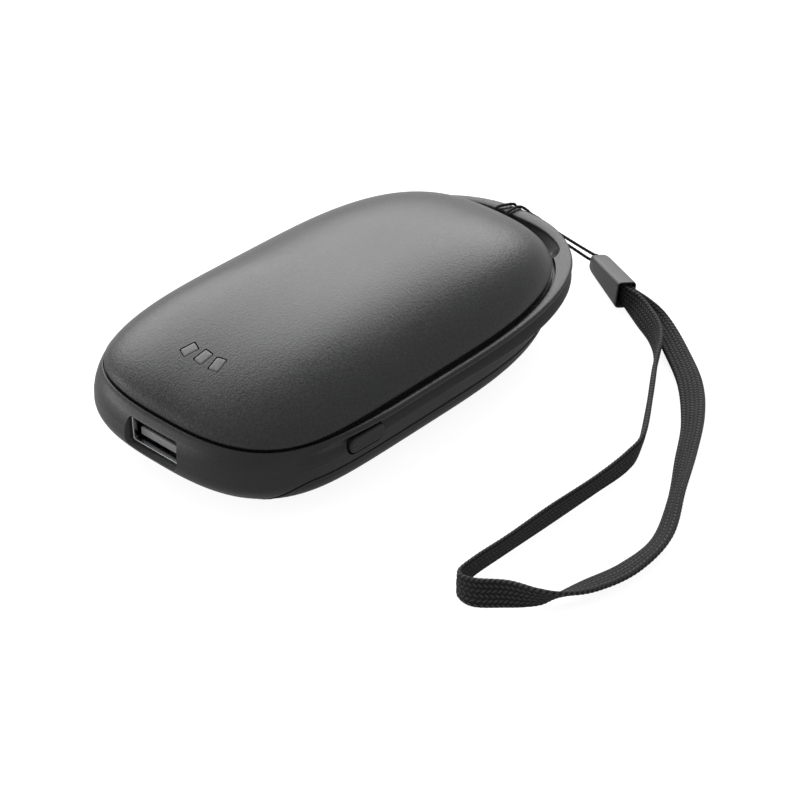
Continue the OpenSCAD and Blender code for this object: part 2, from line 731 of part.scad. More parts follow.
module usb_shell() color("#b9bcc0") {
    difference() {
        usb_prism(usb_outer_w, usb_outer_h, usb_corner, usb_rim_x, usb_rim_x + usb_len);
        usb_prism(usb_w, usb_h, usb_corner - usb_sheet, usb_rim_x - cut, usb_rim_x + usb_len + cut);
    }
}
tongue_z = usb_z - usb_h / 2 + tongue_lift;
tongue_x = usb_rim_x + tongue_setback;
module usb_tongue() color("#8e9093") {
    union() {
        translate([tongue_x, usb_y - tongue_w / 2, tongue_z])
            cube([usb_len - tongue_setback - tongue_root / 2, tongue_w, tongue_t]);
        usb_prism(usb_w - 2 * plunger_fit, usb_h - 2 * plunger_fit, usb_corner - usb_sheet,
            usb_rim_x + usb_len - tongue_root, usb_rim_x + usb_len);
    }
}
contact_len = usb_len - tongue_setback - tongue_root - contact_w - contact_end;
contact_ys = [-contact_step / 2 - contact_outer_step, -contact_step / 2, contact_step / 2,
    contact_step / 2 + contact_outer_step];
module usb_contacts() color("#c9a648") {
    for (y = contact_ys)
        translate([tongue_x + contact_w, usb_y + y - contact_w / 2, tongue_z + tongue_t])
        cube([contact_len, contact_w, contact_t]);
}

module inlet_shell() color("#aeb1b5") {
    difference() {
        translate([inlet_x - inlet_w / 2, inlet_face_y - inlet_depth, board_z - inlet_h])
            cube([inlet_w, inlet_depth, inlet_h]);
        translate([inlet_x - inlet_w / 2 + inlet_sheet, inlet_face_y - inlet_depth + inlet_sheet,
            board_z - inlet_h + inlet_sheet])
            cube([inlet_w - 2 * inlet_sheet, inlet_depth, inlet_h - 2 * inlet_sheet]);
    }
}
module inlet_tongue() color("#111111") {
    translate([inlet_x - inlet_w / 4, inlet_face_y - inlet_depth + inlet_sheet, inlet_z - inlet_sheet])
        cube([inlet_w / 2, inlet_depth * 0.75, 2 * inlet_sheet]);
}

// Main board with one arm over the switch and one over the inlet
arm_gap = board_post_gap;
arm_in_y = cell_d + cell_space / 2 + arm_gap;
switch_arm_y = flange_back_y - button_travel - small_step;
inlet_arm_y = inlet_face_y - inlet_depth * 0.75;
arm_front_x = post_usb_x + post_d / 2 + arm_gap;
board_clip = 3;
board_shape = [[board_front_x + board_clip / 2, -board_half], [arm_front_x, -board_half],
    [arm_front_x, -arm_in_y - board_clip / 2], [button_x - switch_w / 2 - arm_gap, -switch_arm_y],
    [button_x + switch_w / 2 + arm_gap, -switch_arm_y], [button_x + switch_w / 2 + arm_gap, -arm_in_y],
    [board_back_x, -arm_in_y], [board_back_x, arm_in_y], [inlet_x + inlet_w / 2, arm_in_y],
    [inlet_x + inlet_w / 2, inlet_arm_y], [arm_front_x, inlet_arm_y], [arm_front_x, board_half],
    [board_front_x + board_clip / 2, board_half], [board_front_x, board_half - board_clip],
    [board_front_x, board_clip - board_half]];
module main_board() color("#1f5a35") {
    difference() {
        translate([0, 0, board_z])
            linear_extrude(board_t)
            polygon(board_shape);
        for (p = board_post_places)
            translate([p[0], p[1], board_z - cut])
            cylinder(d = board_screw_d + 2 * screw_gap, h = board_t + 2 * cut);
    }
}

module board_block(x, y, lx, ly, h) {
    translate([x - lx / 2, y - ly / 2, board_top_z])
        cube([lx, ly, h]);
}
module indicator_leds() color("#e8e6d8") {
    for (i = [-1 : 1])
        board_block(window_x, window_y + i * window_step, led_side, led_side, led_h);
}
parts_x = board_back_x - inductor_side / 2 - small_step;
chips_x = board_front_x + 0.8 * control_chip_side;
inductor_y = -board_half / 2;
module control_chip() color("#161616") {
    board_block(chips_x, -board_half / 2, control_chip_side, control_chip_side, chip_h);
}
module power_chip() color("#161616") {
    board_block(chips_x, board_half / 2, power_chip_side, power_chip_side, chip_h);
}
module boost_inductor() color("#3a3a3c") {
    union() {
        board_block(parts_x, inductor_y, inductor_side, inductor_side, small_step);
        translate([parts_x, inductor_y, board_top_z])
            cylinder(d = inductor_side - small_step, h = inductor_h);
    }
}
module capacitors() color("#9a7b54") {
    for (i = [0 : 3])
        board_block(board_back_x - 2.5 * capacitor_len, window_y + (4 + 2 * i) * capacitor_side,
            capacitor_len, capacitor_side, capacitor_side);
}

// Two cells side by side over a carrier on the floor
cell_y = (cell_d + cell_space) / 2;
cell_z = bottom_wall + cell_lift + cell_d / 2;
cell_front_x = board_back_x + cell_front_gap;
module cell_body(y) {
    translate([cell_front_x, y, cell_z])
        rotate([0, 90, 0])
        cylinder(d = cell_d, h = cell_len);
}
module battery_cell_left() color("#2f6fb5") {
    cell_body(cell_y);
}
module battery_cell_right() color("#2f6fb5") {
    cell_body(-cell_y);
}
module cell_carrier() color("#d9d9d4") {
    difference() {
        translate([cell_front_x + (cell_len - carrier_len) / 2, -carrier_half, bottom_wall])
            cube([carrier_len, 2 * carrier_half, carrier_h]);
        for (y = [-cell_y, cell_y])
            translate([cell_front_x - cut, y, cell_z])
            rotate([0, 90, 0])
            cylinder(d = cell_d + 2 * cell_fit, h = cell_len + 2 * cut);
    }
}
module nickel_strip(x) {
    translate([x, -strip_span / 2, cell_z - strip_w / 2])
        cube([strip_t, strip_span, strip_w]);
}
module nickel_strip_front() color("#c3c5c4") {
    nickel_strip(cell_front_x - strip_t);
}
module nickel_strip_rear() color("#c3c5c4") {
    nickel_strip(cell_front_x + cell_len);
}

// Curves through points, and tubes along them
function curve(a, b, c, d, u) = (2 * b + (c - a) * u + (2 * a - 5 * b + 4 * c - d) * u * u
    + (3 * b - 3 * c + d - a) * u * u * u) / 2;
function along(pts, n) = let (m = len(pts)) concat(
    [for (i = [0 : m - 2])
        for (k = [0 : n - 1])
        curve(pts[max(0, i - 1)], pts[i], pts[i + 1], pts[min(m - 1, i + 2)], k / n)],
    [pts[m - 1]]);
function unit(v) = v / norm(v);
function place(p) = [p[0], p[1], p[2]];
function heading(ps, i) = unit(place(ps[min(len(ps) - 1, i + 1)]) - place(ps[max(0, i - 1)]));
function headings(ps) = [for (i = [0 : len(ps) - 1]) heading(ps, i)];
// A side vector carried along without twist
function carry(hs, v, i = 0) = i == len(hs) ? []
    : let (w = unit(v - (v * hs[i]) * hs[i])) concat([w], carry(hs, w, i + 1));
tube_sides = 8;
module tube(pts, d, n, side) {
    ps = along(pts, n);
    hs = headings(ps);
    us = carry(hs, side);
    skin([for (i = [0 : len(ps) - 1])
        let (w = cross(hs[i], us[i]))
        [for (k = [0 : tube_sides - 1])
            ps[i] + (us[i] * cos(360 * k / tube_sides) + w * sin(360 * k / tube_sides)) * d / 2]]);
}

// Leads inside the case
lead_gap = 0.1;
red_y = cell_y + lead_d;
strip_top_z = cell_z + strip_w / 2;
module cell_lead_red() color("#b3261e") {
    tube([[cell_front_x - strip_t - lead_d / 2 - lead_gap, red_y, strip_top_z - lead_d],
        [cell_front_x - strip_t - lead_d / 2 - lead_gap, red_y, strip_top_z + lead_d],
        [board_back_x - lead_d / 2, red_y, strip_top_z + 2 * lead_d],
        [board_back_x - 2 * lead_d, red_y, strip_top_z + lead_d],
        [board_back_x - 2 * lead_d, red_y, board_top_z + lead_gap]], lead_d, 4, [0, 1, 0]);
}
valley_z = cell_z + cell_d / 3;
rear_x = cell_front_x + cell_len + strip_t;
module cell_lead_black() color("#1b1b1b") {
    tube([[rear_x + lead_d / 2 + lead_gap, 0, strip_top_z - lead_d],
        [rear_x + lead_d / 2, 0, strip_top_z + lead_d / 2],
        [rear_x - 2 * lead_d, 0, valley_z + lead_d / 2],
        [rear_x - 8 * lead_d, 0, valley_z + lead_d / 2],
        [cell_front_x + 8 * lead_d, 0, valley_z + lead_d / 2],
        [cell_front_x, 0, valley_z + lead_d / 2],
        [board_back_x - lead_d, 0, valley_z - lead_d],
        [board_back_x - 2 * lead_d, 0, board_top_z + 2 * lead_d],
        [board_back_x - 2 * lead_d, 0, board_top_z + lead_gap]], lead_d, 3, [0, 1, 0]);
}

// Heater film under the dome, in shares of the dome's inner outline
film_shares = [0.7, 0.6, 0.48, 0.34, 0.2, 0.08];
film_around = 48;
function film_z(r, drop) = rim_z + dome_edge + dome_level(r, dome_rise - dome_wall) - drop;
function film_row(r, drop) = dome_row(dome_inside_outline, r, film_z(r, drop), film_around);
module heater_film() color("#c77b30") {
    low = film_gap + film_t;
    skin(concat([for (k = [len(film_shares) - 1 : -1 : 0]) film_row(film_shares[k], low)],
        [for (r = film_shares) film_row(r, film_gap)]));
}
foam_shares = [0.54, 0.48, 0.34, 0.2, 0.08];
foam_low_z = cell_z + cell_d / 2 + foam_gap;
module foam_pad() color("#5b5b60") {
    low = film_gap + film_t + foam_gap;
    skin(concat([dome_row(dome_inside_outline, foam_shares[0], foam_low_z, film_around)],
        [for (r = foam_shares) film_row(r, low)]));
}
film_usb_x = widest_x - dome_inside_outline[0] * film_shares[0] + dome_lean * (1 - film_shares[0]);
sensor_x = widest_x - dome_inside_outline[0] * film_shares[1] + dome_lean * (1 - film_shares[1]);
sensor_y = -sensor_w * 2;
sensor_top_z = film_z(film_shares[1], film_gap + film_t) - foam_gap;
module temperature_sensor() color("#20201e") {
    union() {
        translate([sensor_x - sensor_w / 4, sensor_y - sensor_w / 2, sensor_top_z - sensor_h])
            cube([sensor_len, sensor_w, sensor_h]);
        tube([[sensor_x, sensor_y, sensor_top_z - sensor_h / 2],
            [sensor_x - sensor_h, sensor_y, sensor_top_z - sensor_h],
            [board_back_x - heater_lead_d, sensor_y, valley_z],
            [board_back_x - 2 * heater_lead_d, sensor_y, board_top_z + 2 * heater_lead_d],
            [board_back_x - 2 * heater_lead_d, sensor_y, board_top_z + lead_gap]],
            heater_lead_d * 0.8, 4, [0, 1, 0]);
    }
}
heater_lead_ys = [window_y + 2.4 * heater_lead_d, window_y + 4.4 * heater_lead_d];
module heater_leads() color("#e6e3da") {
    for (y = heater_lead_ys)
        tube([[film_usb_x + 2 * heater_lead_d, y, film_z(film_shares[0], film_gap + film_t) - lead_gap],
            [film_usb_x + heater_lead_d, y, film_z(film_shares[0], film_gap + film_t) - heater_lead_d],
            [board_back_x - 1.5 * heater_lead_d, y, cell_z + cell_d / 2 - heater_lead_d],
            [board_back_x - 2 * heater_lead_d, y, board_top_z + 2 * heater_lead_d],
            [board_back_x - 2 * heater_lead_d, y, board_top_z + lead_gap]], heater_lead_d, 4, [0, 1, 0]);
}

module case_screws() color("#8f9296") {
    for (p = post_places)
        translate([p[0], p[1], screw_seat_z])
        difference() {
            union() {
                translate([0, 0, -screw_head_h])
                    cylinder(d = screw_head_d, h = screw_head_h);
                cylinder(d = screw_d, h = screw_len);
            }
            for (a = [0, 90])
                rotate([0, 0, a])
                translate([-screw_d / 2, -small_step / 2, -screw_head_h - cut])
                cube([screw_d, small_step, cut + screw_head_h / 2]);
        }
}
module board_screws() color("#8f9296") {
    for (p = board_post_places)
        translate([p[0], p[1], board_top_z])
        union() {
            cylinder(d = 2 * board_screw_d, h = board_screw_d / 2);
            translate([0, 0, -board_screw_len])
                cylinder(d = board_screw_d, h = board_screw_len);
        }
}

// The routes of cord and strap, and the sleeve's place, are laid for a ring that ends here
lanyard_home_x = 55.2;
lanyard_shift = [widest_x + ledge_outline[1] - lanyard_home_x, 0, 0];
// Route of the lanyard cord: out of the sleeve, up to the ring, hitched round its bar, and back
cord_route = [[68, -13.4, 2.7], [69, -11.8, 2.6], [69.3, -10.9, 2.9], [68.4, -10.2, 3.5],
    [65.1, -7.8, 6.6], [61.8, -5.4, 9.8], [58.9, -3.3, 12.6], [57.8, -2.4, 13.4],
    [57.05, -1.2, 12.9], [56.95, 0.1, 12], [56.7, 1.2, 11.2], [55.3, 1.8, 10.9], [53.6, 1.8, 10.9],
    [52.5, 1.8, 11.2], [52.4, 1.8, 13.5], [52.45, 1.8, 15.8], [53.2, 1.8, 16.3], [54.7, 1.8, 16.3],
    [55.9, 1.7, 16.25], [56.75, 1.2, 16], [57.1, 0.2, 15.6], [57.05, -1.2, 15.1], [57, -2.9, 14.9],
    [57, -4.1, 14.6], [57.2, -4.8, 13.4], [57.4, -4.5, 11.9], [57.9, -3.2, 11], [58.6, -1.6, 11.2],
    [58.7, 0, 12.7], [57.8, 1.8, 14.1], [57.1, 3, 15.3], [56.35, 3.3, 16.15], [54.7, 4.1, 16.35],
    [53.2, 4.8, 16.3], [52.3, 5, 15.9], [52.2, 5, 13.5], [52.3, 5, 11.2], [53.5, 5, 10.9],
    [55.4, 4.7, 10.9], [56.9, 3.2, 10.8], [57.7, 1.4, 11.1], [57.8, -0.4, 11.7], [58, -1.9, 12.1],
    [58.7, -3.1, 11.6], [61.5, -5.6, 8.6], [64.6, -8.1, 5.4], [67.1, -10.2, 2.8],
    [68.3, -11.1, 2.1], [67.2, -12.8, 2.4]];
module lanyard_cord() color("#161616") {
    translate(lanyard_shift)
        tube(cord_route, cord_d, 2, [0, 0, 1]);
}

// Sleeve: a tube of round cornered sections, wide and open at the strap, narrow at the cord
sleeve_at = [59.5, -26.4, 3.4];
sleeve_yaw = 58.9;
sleeve_pitch = 3.9;
sleeve_corner = 1.1;
function sleeve_h(u) = sleeve_mouth_h + (sleeve_cord_h - sleeve_mouth_h) * u;
function sleeve_row(u, w, h, r) = [for (p = round_box(w, h, r)) [sleeve_len * u, p[0], p[1]]];
sleeve_end_share = 1 - sleeve_end / sleeve_len;
sleeve_rows = concat(
    [sleeve_row(0, sleeve_w - sleeve_wall, sleeve_mouth_h - sleeve_wall, sleeve_corner * 0.7)],
    [for (u = [0.02, 0.5, 0.86]) sleeve_row(u, sleeve_w, sleeve_h(u), sleeve_corner)],
    [sleeve_row(0.94, sleeve_w * 0.93, sleeve_h(0.94) * 0.95, sleeve_corner),
    sleeve_row(0.985, sleeve_w * 0.78, sleeve_h(1) * 0.8, sleeve_corner * 0.9),
    sleeve_row(1, sleeve_w * 0.64, sleeve_h(1) * 0.62, sleeve_corner * 0.8),
    sleeve_row(1, sleeve_hole_w, sleeve_hole_h, sleeve_hole_h * 0.48),
    sleeve_row(sleeve_end_share, sleeve_hole_w, sleeve_hole_h, sleeve_hole_h * 0.48),
    sleeve_row(sleeve_end_share - 0.02, sleeve_w - 2 * sleeve_wall, sleeve_h(0.9) - 3 * sleeve_wall,
        sleeve_corner * 0.5),
    sleeve_row(0.01, sleeve_w - 2 * sleeve_wall, sleeve_mouth_h - 2 * sleeve_wall, sleeve_corner * 0.5),
    sleeve_row(0, sleeve_w - 1.6 * sleeve_wall, sleeve_mouth_h - 1.6 * sleeve_wall, sleeve_corner * 0.6)]);
module strap_sleeve() color("#55565a") {
    translate(sleeve_at + lanyard_shift)
        rotate([0, 0, sleeve_yaw])
        rotate([0, sleeve_pitch, 0])
        rotate([sleeve_roll, 0, 0])
        skin(sleeve_rows, true);
}

// Route of the strap out of the sleeve and back: place, lean of its width, and share of its width
strap_route = [[60.8, -24.3, 3.3, 97, 0.86], [59.5, -26.6, 3.2, 97, 0.94],
    [58.4, -30, 2.8, 116, 1], [56.2, -34, 2.7, 125, 1], [52.6, -39.6, 2.7, 115, 1],
    [47.8, -44.1, 2.8, 101, 1], [41.1, -48.1, 2.8, 96, 1], [31, -54.5, 2.9, 97, 1],
    [18.4, -61.9, 3, 101, 1], [11.3, -63.8, 2.9, 93, 1], [0.7, -64, 2.9, 100, 1],
    [-12.8, -63.5, 2.8, 97, 1], [-24.2, -63.3, 2.8, 100, 0.97], [-34, -63.1, 2.9, 97, 0.97],
    [-38.9, -64.1, 2.9, 91, 0.98], [-39.4, -67.9, 3, 108, 1.06], [-35.8, -72.6, 3, 108, 1.02],
    [-32.5, -77.2, 2.8, 76, 0.94], [-29.2, -79.6, 2.6, 44, 0.98], [-22.9, -81.8, 2.2, 18, 1],
    [-13.6, -83.5, 1.7, 18, 1], [-2.9, -82.9, 2.1, 36, 1], [9.1, -77.4, 2.6, 53, 1],
    [21.4, -70.7, 2.2, 37, 1], [32.6, -64.2, 2, 30, 1], [43.2, -55.8, 1.5, 12, 1],
    [51.5, -46, 1.5, 6, 1], [56.9, -38, 2.1, 26, 0.9], [59.3, -32.2, 2.6, 68, 0.88],
    [60.2, -27.5, 3.1, 83, 0.88], [61.8, -24.9, 3.3, 83, 0.84]];
strap_edge = strap_t * 0.35;
strap_section = [[strap_w / 2, strap_edge - strap_t / 2], [strap_w / 2, strap_t / 2 - strap_edge],
    [strap_w / 2 - strap_edge, strap_t / 2], [strap_edge - strap_w / 2, strap_t / 2],
    [-strap_w / 2, strap_t / 2 - strap_edge], [-strap_w / 2, strap_edge - strap_t / 2],
    [strap_edge - strap_w / 2, -strap_t / 2], [strap_w / 2 - strap_edge, -strap_t / 2]];
strap_steps = 3;
strap_places = along(strap_route, strap_steps);
strap_headings = headings(strap_places);
module wrist_strap() color("#1d1d1f") {
    translate(lanyard_shift)
        skin([for (i = [0 : len(strap_places) - 1])
            let (h = strap_headings[i])
            let (s = unit(cross(h, [0, 0, 1])))
            let (lean = strap_places[i][3])
            let (w = s * cos(lean) + cross(s, h) * sin(lean))
            let (f = cross(h, w))
            [for (q = strap_section) place(strap_places[i]) + w * q[0] * strap_places[i][4] + f * q[1]]]);
}

top_shell();
mid_frame();
bottom_shell();
seal_top();
light_guide();
power_button();
switch_body();
switch_plunger();
usb_shell();
usb_tongue();
usb_contacts();
inlet_shell();
inlet_tongue();
main_board();
indicator_leds();
control_chip();
power_chip();
boost_inductor();
capacitors();
battery_cell_left();
battery_cell_right();
cell_carrier();
nickel_strip_front();
nickel_strip_rear();
cell_lead_red();
cell_lead_black();
heater_film();
foam_pad();
temperature_sensor();
heater_leads();
case_screws();
board_screws();
lanyard_cord();
strap_sleeve();
wrist_strap();
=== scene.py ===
"""Looks of a rechargeable hand warmer: shells, socket, button, windows, cord and strap, with the studio."""

import math

import bmesh
import bpy
from bpy.props import FloatProperty, FloatVectorProperty, IntProperty, PointerProperty
from bpy.types import Operator, Panel, PropertyGroup
from mathutils import Matrix, Vector
from mathutils.bvhtree import BVHTree


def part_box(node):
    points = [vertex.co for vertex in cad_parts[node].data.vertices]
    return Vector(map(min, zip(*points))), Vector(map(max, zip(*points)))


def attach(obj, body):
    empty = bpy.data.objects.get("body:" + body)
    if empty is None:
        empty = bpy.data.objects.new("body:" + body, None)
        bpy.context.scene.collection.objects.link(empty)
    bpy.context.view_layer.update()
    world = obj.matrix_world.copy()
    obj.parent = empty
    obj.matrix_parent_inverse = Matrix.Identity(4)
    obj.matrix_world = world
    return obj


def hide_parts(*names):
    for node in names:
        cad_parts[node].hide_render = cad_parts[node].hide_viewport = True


bl_info = {
    "name": "Hand Warmer",
    "version": (1, 0, 0),
    "blender": (4, 5, 0),
    "location": "View3D > Sidebar > Hand Warmer",
    "description": "Builds a pebble shaped hand warmer with its wrist strap, finishes and studio",
    "category": "Add Mesh",
}

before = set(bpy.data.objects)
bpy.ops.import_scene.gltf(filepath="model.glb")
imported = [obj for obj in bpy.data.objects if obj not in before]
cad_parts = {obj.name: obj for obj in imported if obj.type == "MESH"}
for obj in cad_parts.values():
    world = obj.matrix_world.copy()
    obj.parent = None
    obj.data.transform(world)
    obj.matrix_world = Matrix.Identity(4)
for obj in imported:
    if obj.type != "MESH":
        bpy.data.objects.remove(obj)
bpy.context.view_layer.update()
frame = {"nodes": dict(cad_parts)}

MM = 0.001
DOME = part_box("top_shell")
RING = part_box("mid_frame")
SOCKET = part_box("usb_shell")
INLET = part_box("inlet_shell")

# The cord's and the strap's routes repeat those of the part's source, in millimetres.
# Cord: out of the sleeve, up to the ring, hitched round its bar, and back
CORD_ROUTE = [
    (67.35, -13.4, 2.7), (68.35, -11.8, 2.6), (68.65, -10.9, 2.9), (67.75, -10.2, 3.5), (64.45, -7.8, 6.6),
    (61.15, -5.4, 9.8), (58.25, -3.3, 12.6), (57.15, -2.4, 13.4), (56.4, -1.2, 12.9), (56.3, 0.1, 12),
    (56.05, 1.2, 11.2), (54.65, 1.8, 10.9), (52.95, 1.8, 10.9), (51.85, 1.8, 11.2), (51.75, 1.8, 13.5),
    (51.8, 1.8, 15.8), (52.55, 1.8, 16.3), (54.05, 1.8, 16.3), (55.25, 1.7, 16.25), (56.1, 1.2, 16),
    (56.45, 0.2, 15.6), (56.4, -1.2, 15.1), (56.35, -2.9, 14.9), (56.35, -4.1, 14.6), (56.55, -4.8, 13.4),
    (56.75, -4.5, 11.9), (57.25, -3.2, 11), (57.95, -1.6, 11.2), (58.05, 0, 12.7), (57.15, 1.8, 14.1),
    (56.45, 3, 15.3), (55.7, 3.3, 16.15), (54.05, 4.1, 16.35), (52.55, 4.8, 16.3), (51.65, 5, 15.9),
    (51.55, 5, 13.5), (51.65, 5, 11.2), (52.85, 5, 10.9), (54.75, 4.7, 10.9), (56.25, 3.2, 10.8),
    (57.05, 1.4, 11.1), (57.15, -0.4, 11.7), (57.35, -1.9, 12.1), (58.05, -3.1, 11.6), (60.85, -5.6, 8.6),
    (63.95, -8.1, 5.4), (66.45, -10.2, 2.8), (67.65, -11.1, 2.1), (66.55, -12.8, 2.4),
]
# Strap: place, lean of its width in degrees, and share of its width
STRAP_ROUTE = [
    (60.15, -24.3, 3.3, 97, 0.86), (58.85, -26.6, 3.2, 97, 0.94), (57.75, -30, 2.8, 116, 1),
    (55.55, -34, 2.7, 125, 1), (51.95, -39.6, 2.7, 115, 1), (47.15, -44.1, 2.8, 101, 1),
    (40.45, -48.1, 2.8, 96, 1), (30.35, -54.5, 2.9, 97, 1), (17.75, -61.9, 3, 101, 1),
    (10.65, -63.8, 2.9, 93, 1), (0.05, -64, 2.9, 100, 1), (-13.45, -63.5, 2.8, 97, 1),
    (-24.85, -63.3, 2.8, 100, 0.97),
    (-34.65, -63.1, 2.9, 97, 0.97), (-39.55, -64.1, 2.9, 91, 0.98), (-40.05, -67.9, 3, 108, 1.06),
    (-36.45, -72.6, 3, 108, 1.02), (-33.15, -77.2, 2.8, 76, 0.94), (-29.85, -79.6, 2.6, 44, 0.98),
    (-23.55, -81.8, 2.2, 18, 1), (-14.25, -83.5, 1.7, 18, 1), (-3.55, -82.9, 2.1, 36, 1),
    (8.45, -77.4, 2.6, 53, 1), (20.75, -70.7, 2.2, 37, 1), (31.95, -64.2, 2, 30, 1),
    (42.55, -55.8, 1.5, 12, 1), (50.85, -46, 1.5, 6, 1), (56.25, -38, 2.1, 26, 0.9),
    (58.65, -32.2, 2.6, 68, 0.88),
    (59.55, -27.5, 3.1, 83, 0.88), (61.15, -24.9, 3.3, 83, 0.84),
]
# Points along both are this far apart
ROUTE_STEP = 0.22 * MM
# The sleeve's mouth, and the turns that lay the sleeve along the cord, in degrees
SLEEVE_PLACE, SLEEVE_TURN, SLEEVE_DIP, SLEEVE_ROLL = (0.05885, -0.0264, 0.0034), 58.9, 3.9, 7

# Camera: its place in metres, its turn from the Y axis and its dip in degrees, and its film in millimetres
CAMERA_PLACE, CAMERA_TURN, CAMERA_DIP, FILM_WIDE = (-0.27505, -0.2646, 0.2548), 47.61, 34.43, 36.0


def size(name, description, default, low=0.0, high=1.0):
    """A length property in metres."""
    return FloatProperty(
        name=name, description=description, default=default, min=low, max=high, unit="LENGTH", precision=5
    )


def amount(name, description, default, high=100.0, subtype="NONE"):
    """A plain number, or one with a subtype of its own."""
    return FloatProperty(
        name=name, description=description, default=default, min=0.0, max=high, subtype=subtype
    )


def tint(name, description, default):
    """A colour property."""
    return FloatVectorProperty(
        name=name, description=description, default=default, size=3, min=0.0, max=1.0, subtype="COLOR"
    )


class CaseSizes(PropertyGroup):
    """Sizes of the case: three outlines seen from above, and the heights between them."""

    widest_x: size("Widest section", "Place of the widest section along the case", -0.00405, -0.1, 0.1)
    dome_usb: size("Dome to socket end", "Dome, from its widest section to the socket end", 0.0488)
    dome_ring: size("Dome to ring end", "Dome, from its widest section to the ring end", 0.0524)
    dome_half: size("Dome half width", "Half width of the dome", DOME[1].y)
    belly_usb: size("Belly to socket end", "Belly, from the widest section to the socket end", 0.0518)
    belly_ring: size("Belly to ring end", "Belly, from the widest section to the ring end", 0.0505)
    belly_half: size("Belly half width", "Half width of the belly", 0.0299)
    ledge_side: size("Ledge", "Ledge beside the dome, along the sides", RING[1].y - DOME[1].y)
    ledge_usb: size("Ledge at the socket", "Ledge beside the dome, at the socket end", 0.0013)
    ledge_ring: size("Ledge at the ring", "Ledge beyond the dome, lanyard ring included", 0.0062)
    belly_z: size("Belly height", "Height of the widest line of the belly", 0.0093)
    parting_z: size("Parting line", "Parting line of the base along the sides", 0.0086)
    parting_usb_z: size("Parting line at the socket", "Parting line of the base under the socket", 0.003)
    ring_under_z: size("Ring underside", "Underside of the lanyard ring", 0.0114)
    ledge_z: size("Ledge height", "Top of the ledge round the dome", RING[1].z)
    rim_z: size("Dome rim", "Lower edge of the dome", 0.0162)
    top_z: size("Top", "Top of the dome", 0.028)
    cover_wall: size("Cover wall", "Wall of the dome", 0.0016)
    base_wall: size("Base wall", "Wall and floor of the base", 0.0018)
    frame_wall: size("Frame wall", "Wall of the frame", 0.0027)
    seam: size("Seam", "Gap along the parting line", 0.0001)
    tuck: size("Dome tuck", "How far the lower edge of the dome turns in", 0.0005)
    moat: size("Moat", "Depth of the shadow groove round the dome", 0.0006)


class StrapSizes(PropertyGroup):
    """Sizes of the cord, the sleeve and the strap."""

    cord_thick: size("Cord", "Diameter of the lanyard cord", 0.0007)
    strap_wide: size("Strap width", "Width of the woven strap", 0.0052)
    strap_thick: size("Strap thickness", "Thickness of the woven strap", 0.00096)
    relief: size("Relief", "How far the plaits stand out of the strap", 0.00012)
    plait: size("Plait", "Length of one plait along the strap", 0.00098)
    plait_columns: IntProperty(
        name="Plait columns", description="Columns of plaits round the strap", default=11, min=4, max=60
    )
    sleeve_long: size("Sleeve length", "Length of the strap sleeve", 0.0174)
    sleeve_wide: size("Sleeve width", "Width of the strap sleeve", 0.0045)
    sleeve_mouth: size("Sleeve mouth", "Height of the sleeve at its mouth", 0.0063)
    sleeve_neck: size("Sleeve neck", "Height of the sleeve at the cord end", 0.0038)


class Finishes(PropertyGroup):
    """Colours of the finishes."""

    cover: tint("Cover", "Soft touch plastic of the dome", (0.022, 0.0225, 0.0235))
    frame: tint("Frame", "Matte plastic of the frame and ring", (0.016, 0.016, 0.0165))
    base: tint("Base", "Matte plastic of the base", (0.014, 0.014, 0.0145))
    button: tint("Button", "Satin plastic of the button", (0.018, 0.018, 0.0185))
    lens: tint("Windows", "Milky plastic of the windows", (0.135, 0.135, 0.137))
    mark: tint("Power mark", "Print of the power mark", (0.09, 0.09, 0.092))
    steel: tint("Socket steel", "Plated steel of the socket", (0.62, 0.63, 0.65))
    tongue: tint("Socket tongue", "Plastic of the socket's tongue", (0.3, 0.3, 0.305))
    strap: tint("Strap", "Yarn of the strap", (0.016, 0.016, 0.0165))
    cord: tint("Cord", "Yarn of the cord", (0.012, 0.012, 0.012))
    sleeve: tint("Sleeve", "Plastic of the strap sleeve", (0.046, 0.046, 0.048))


class StageSettings(PropertyGroup):
    """Studio round the object."""

    floor: tint("Floor", "Colour of the floor", (0.34, 0.34, 0.34))
    floor_glow: amount("Floor glow", "White that the camera sees on the floor", 0.9, 1.0)
    floor_gloss: amount("Floor in gloss", "Share of that white which shiny surfaces mirror", 0.38, 1.0)
    sky: amount("Sky", "Strength of the even light from all round", 0.5, 5.0)
    back_light: amount("Back softbox", "Power of the softbox behind the object", 26.0, subtype="POWER")
    side_light: amount("Side softbox", "Power of the softbox at the side", 9.0, subtype="POWER")
    lens: amount("Lens", "Focal length of the camera", 98.66, 500.0, subtype="DISTANCE_CAMERA")


class HandWarmerSettings(PropertyGroup):
    """Everything that can be set."""

    case: PointerProperty(type=CaseSizes, name="Case", description="Sizes of the case")
    strap: PointerProperty(type=StrapSizes, name="Strap", description="Sizes of the strap and cord")
    finish: PointerProperty(type=Finishes, name="Finishes", description="Colours of the finishes")
    stage: PointerProperty(type=StageSettings, name="Studio", description="Floor, lights and camera")


def settings():
    """The settings kept with the scene."""
    return bpy.context.scene.hand_warmer


def colours():
    """Colours of the finishes."""
    return settings().finish


# Outlines and sections of the case

USB_POWER, RING_POWER, SIDE_POWER = 5.8, 2.9, 2.7
DOME_POWER, RISE_POWER, LEAN_SHARE = 3.1, 0.74, 0.226
BASE_POWER, BASE_ROUND = 4.4, 9.9 * MM
DOME_LIFT = 0.2 * MM
AROUND = 192
RING_SWELL, RING_SWELL_HALF = 1.5 * MM, 20.5 * MM


def case():
    """Sizes of the case."""
    return settings().case


def dome_outline():
    """Reach to the socket end, reach to the ring end and half width of the dome."""
    c = case()
    return (c.dome_usb, c.dome_ring, c.dome_half)


def belly_outline():
    """The same three sizes of the belly."""
    c = case()
    return (c.belly_usb, c.belly_ring, c.belly_half)


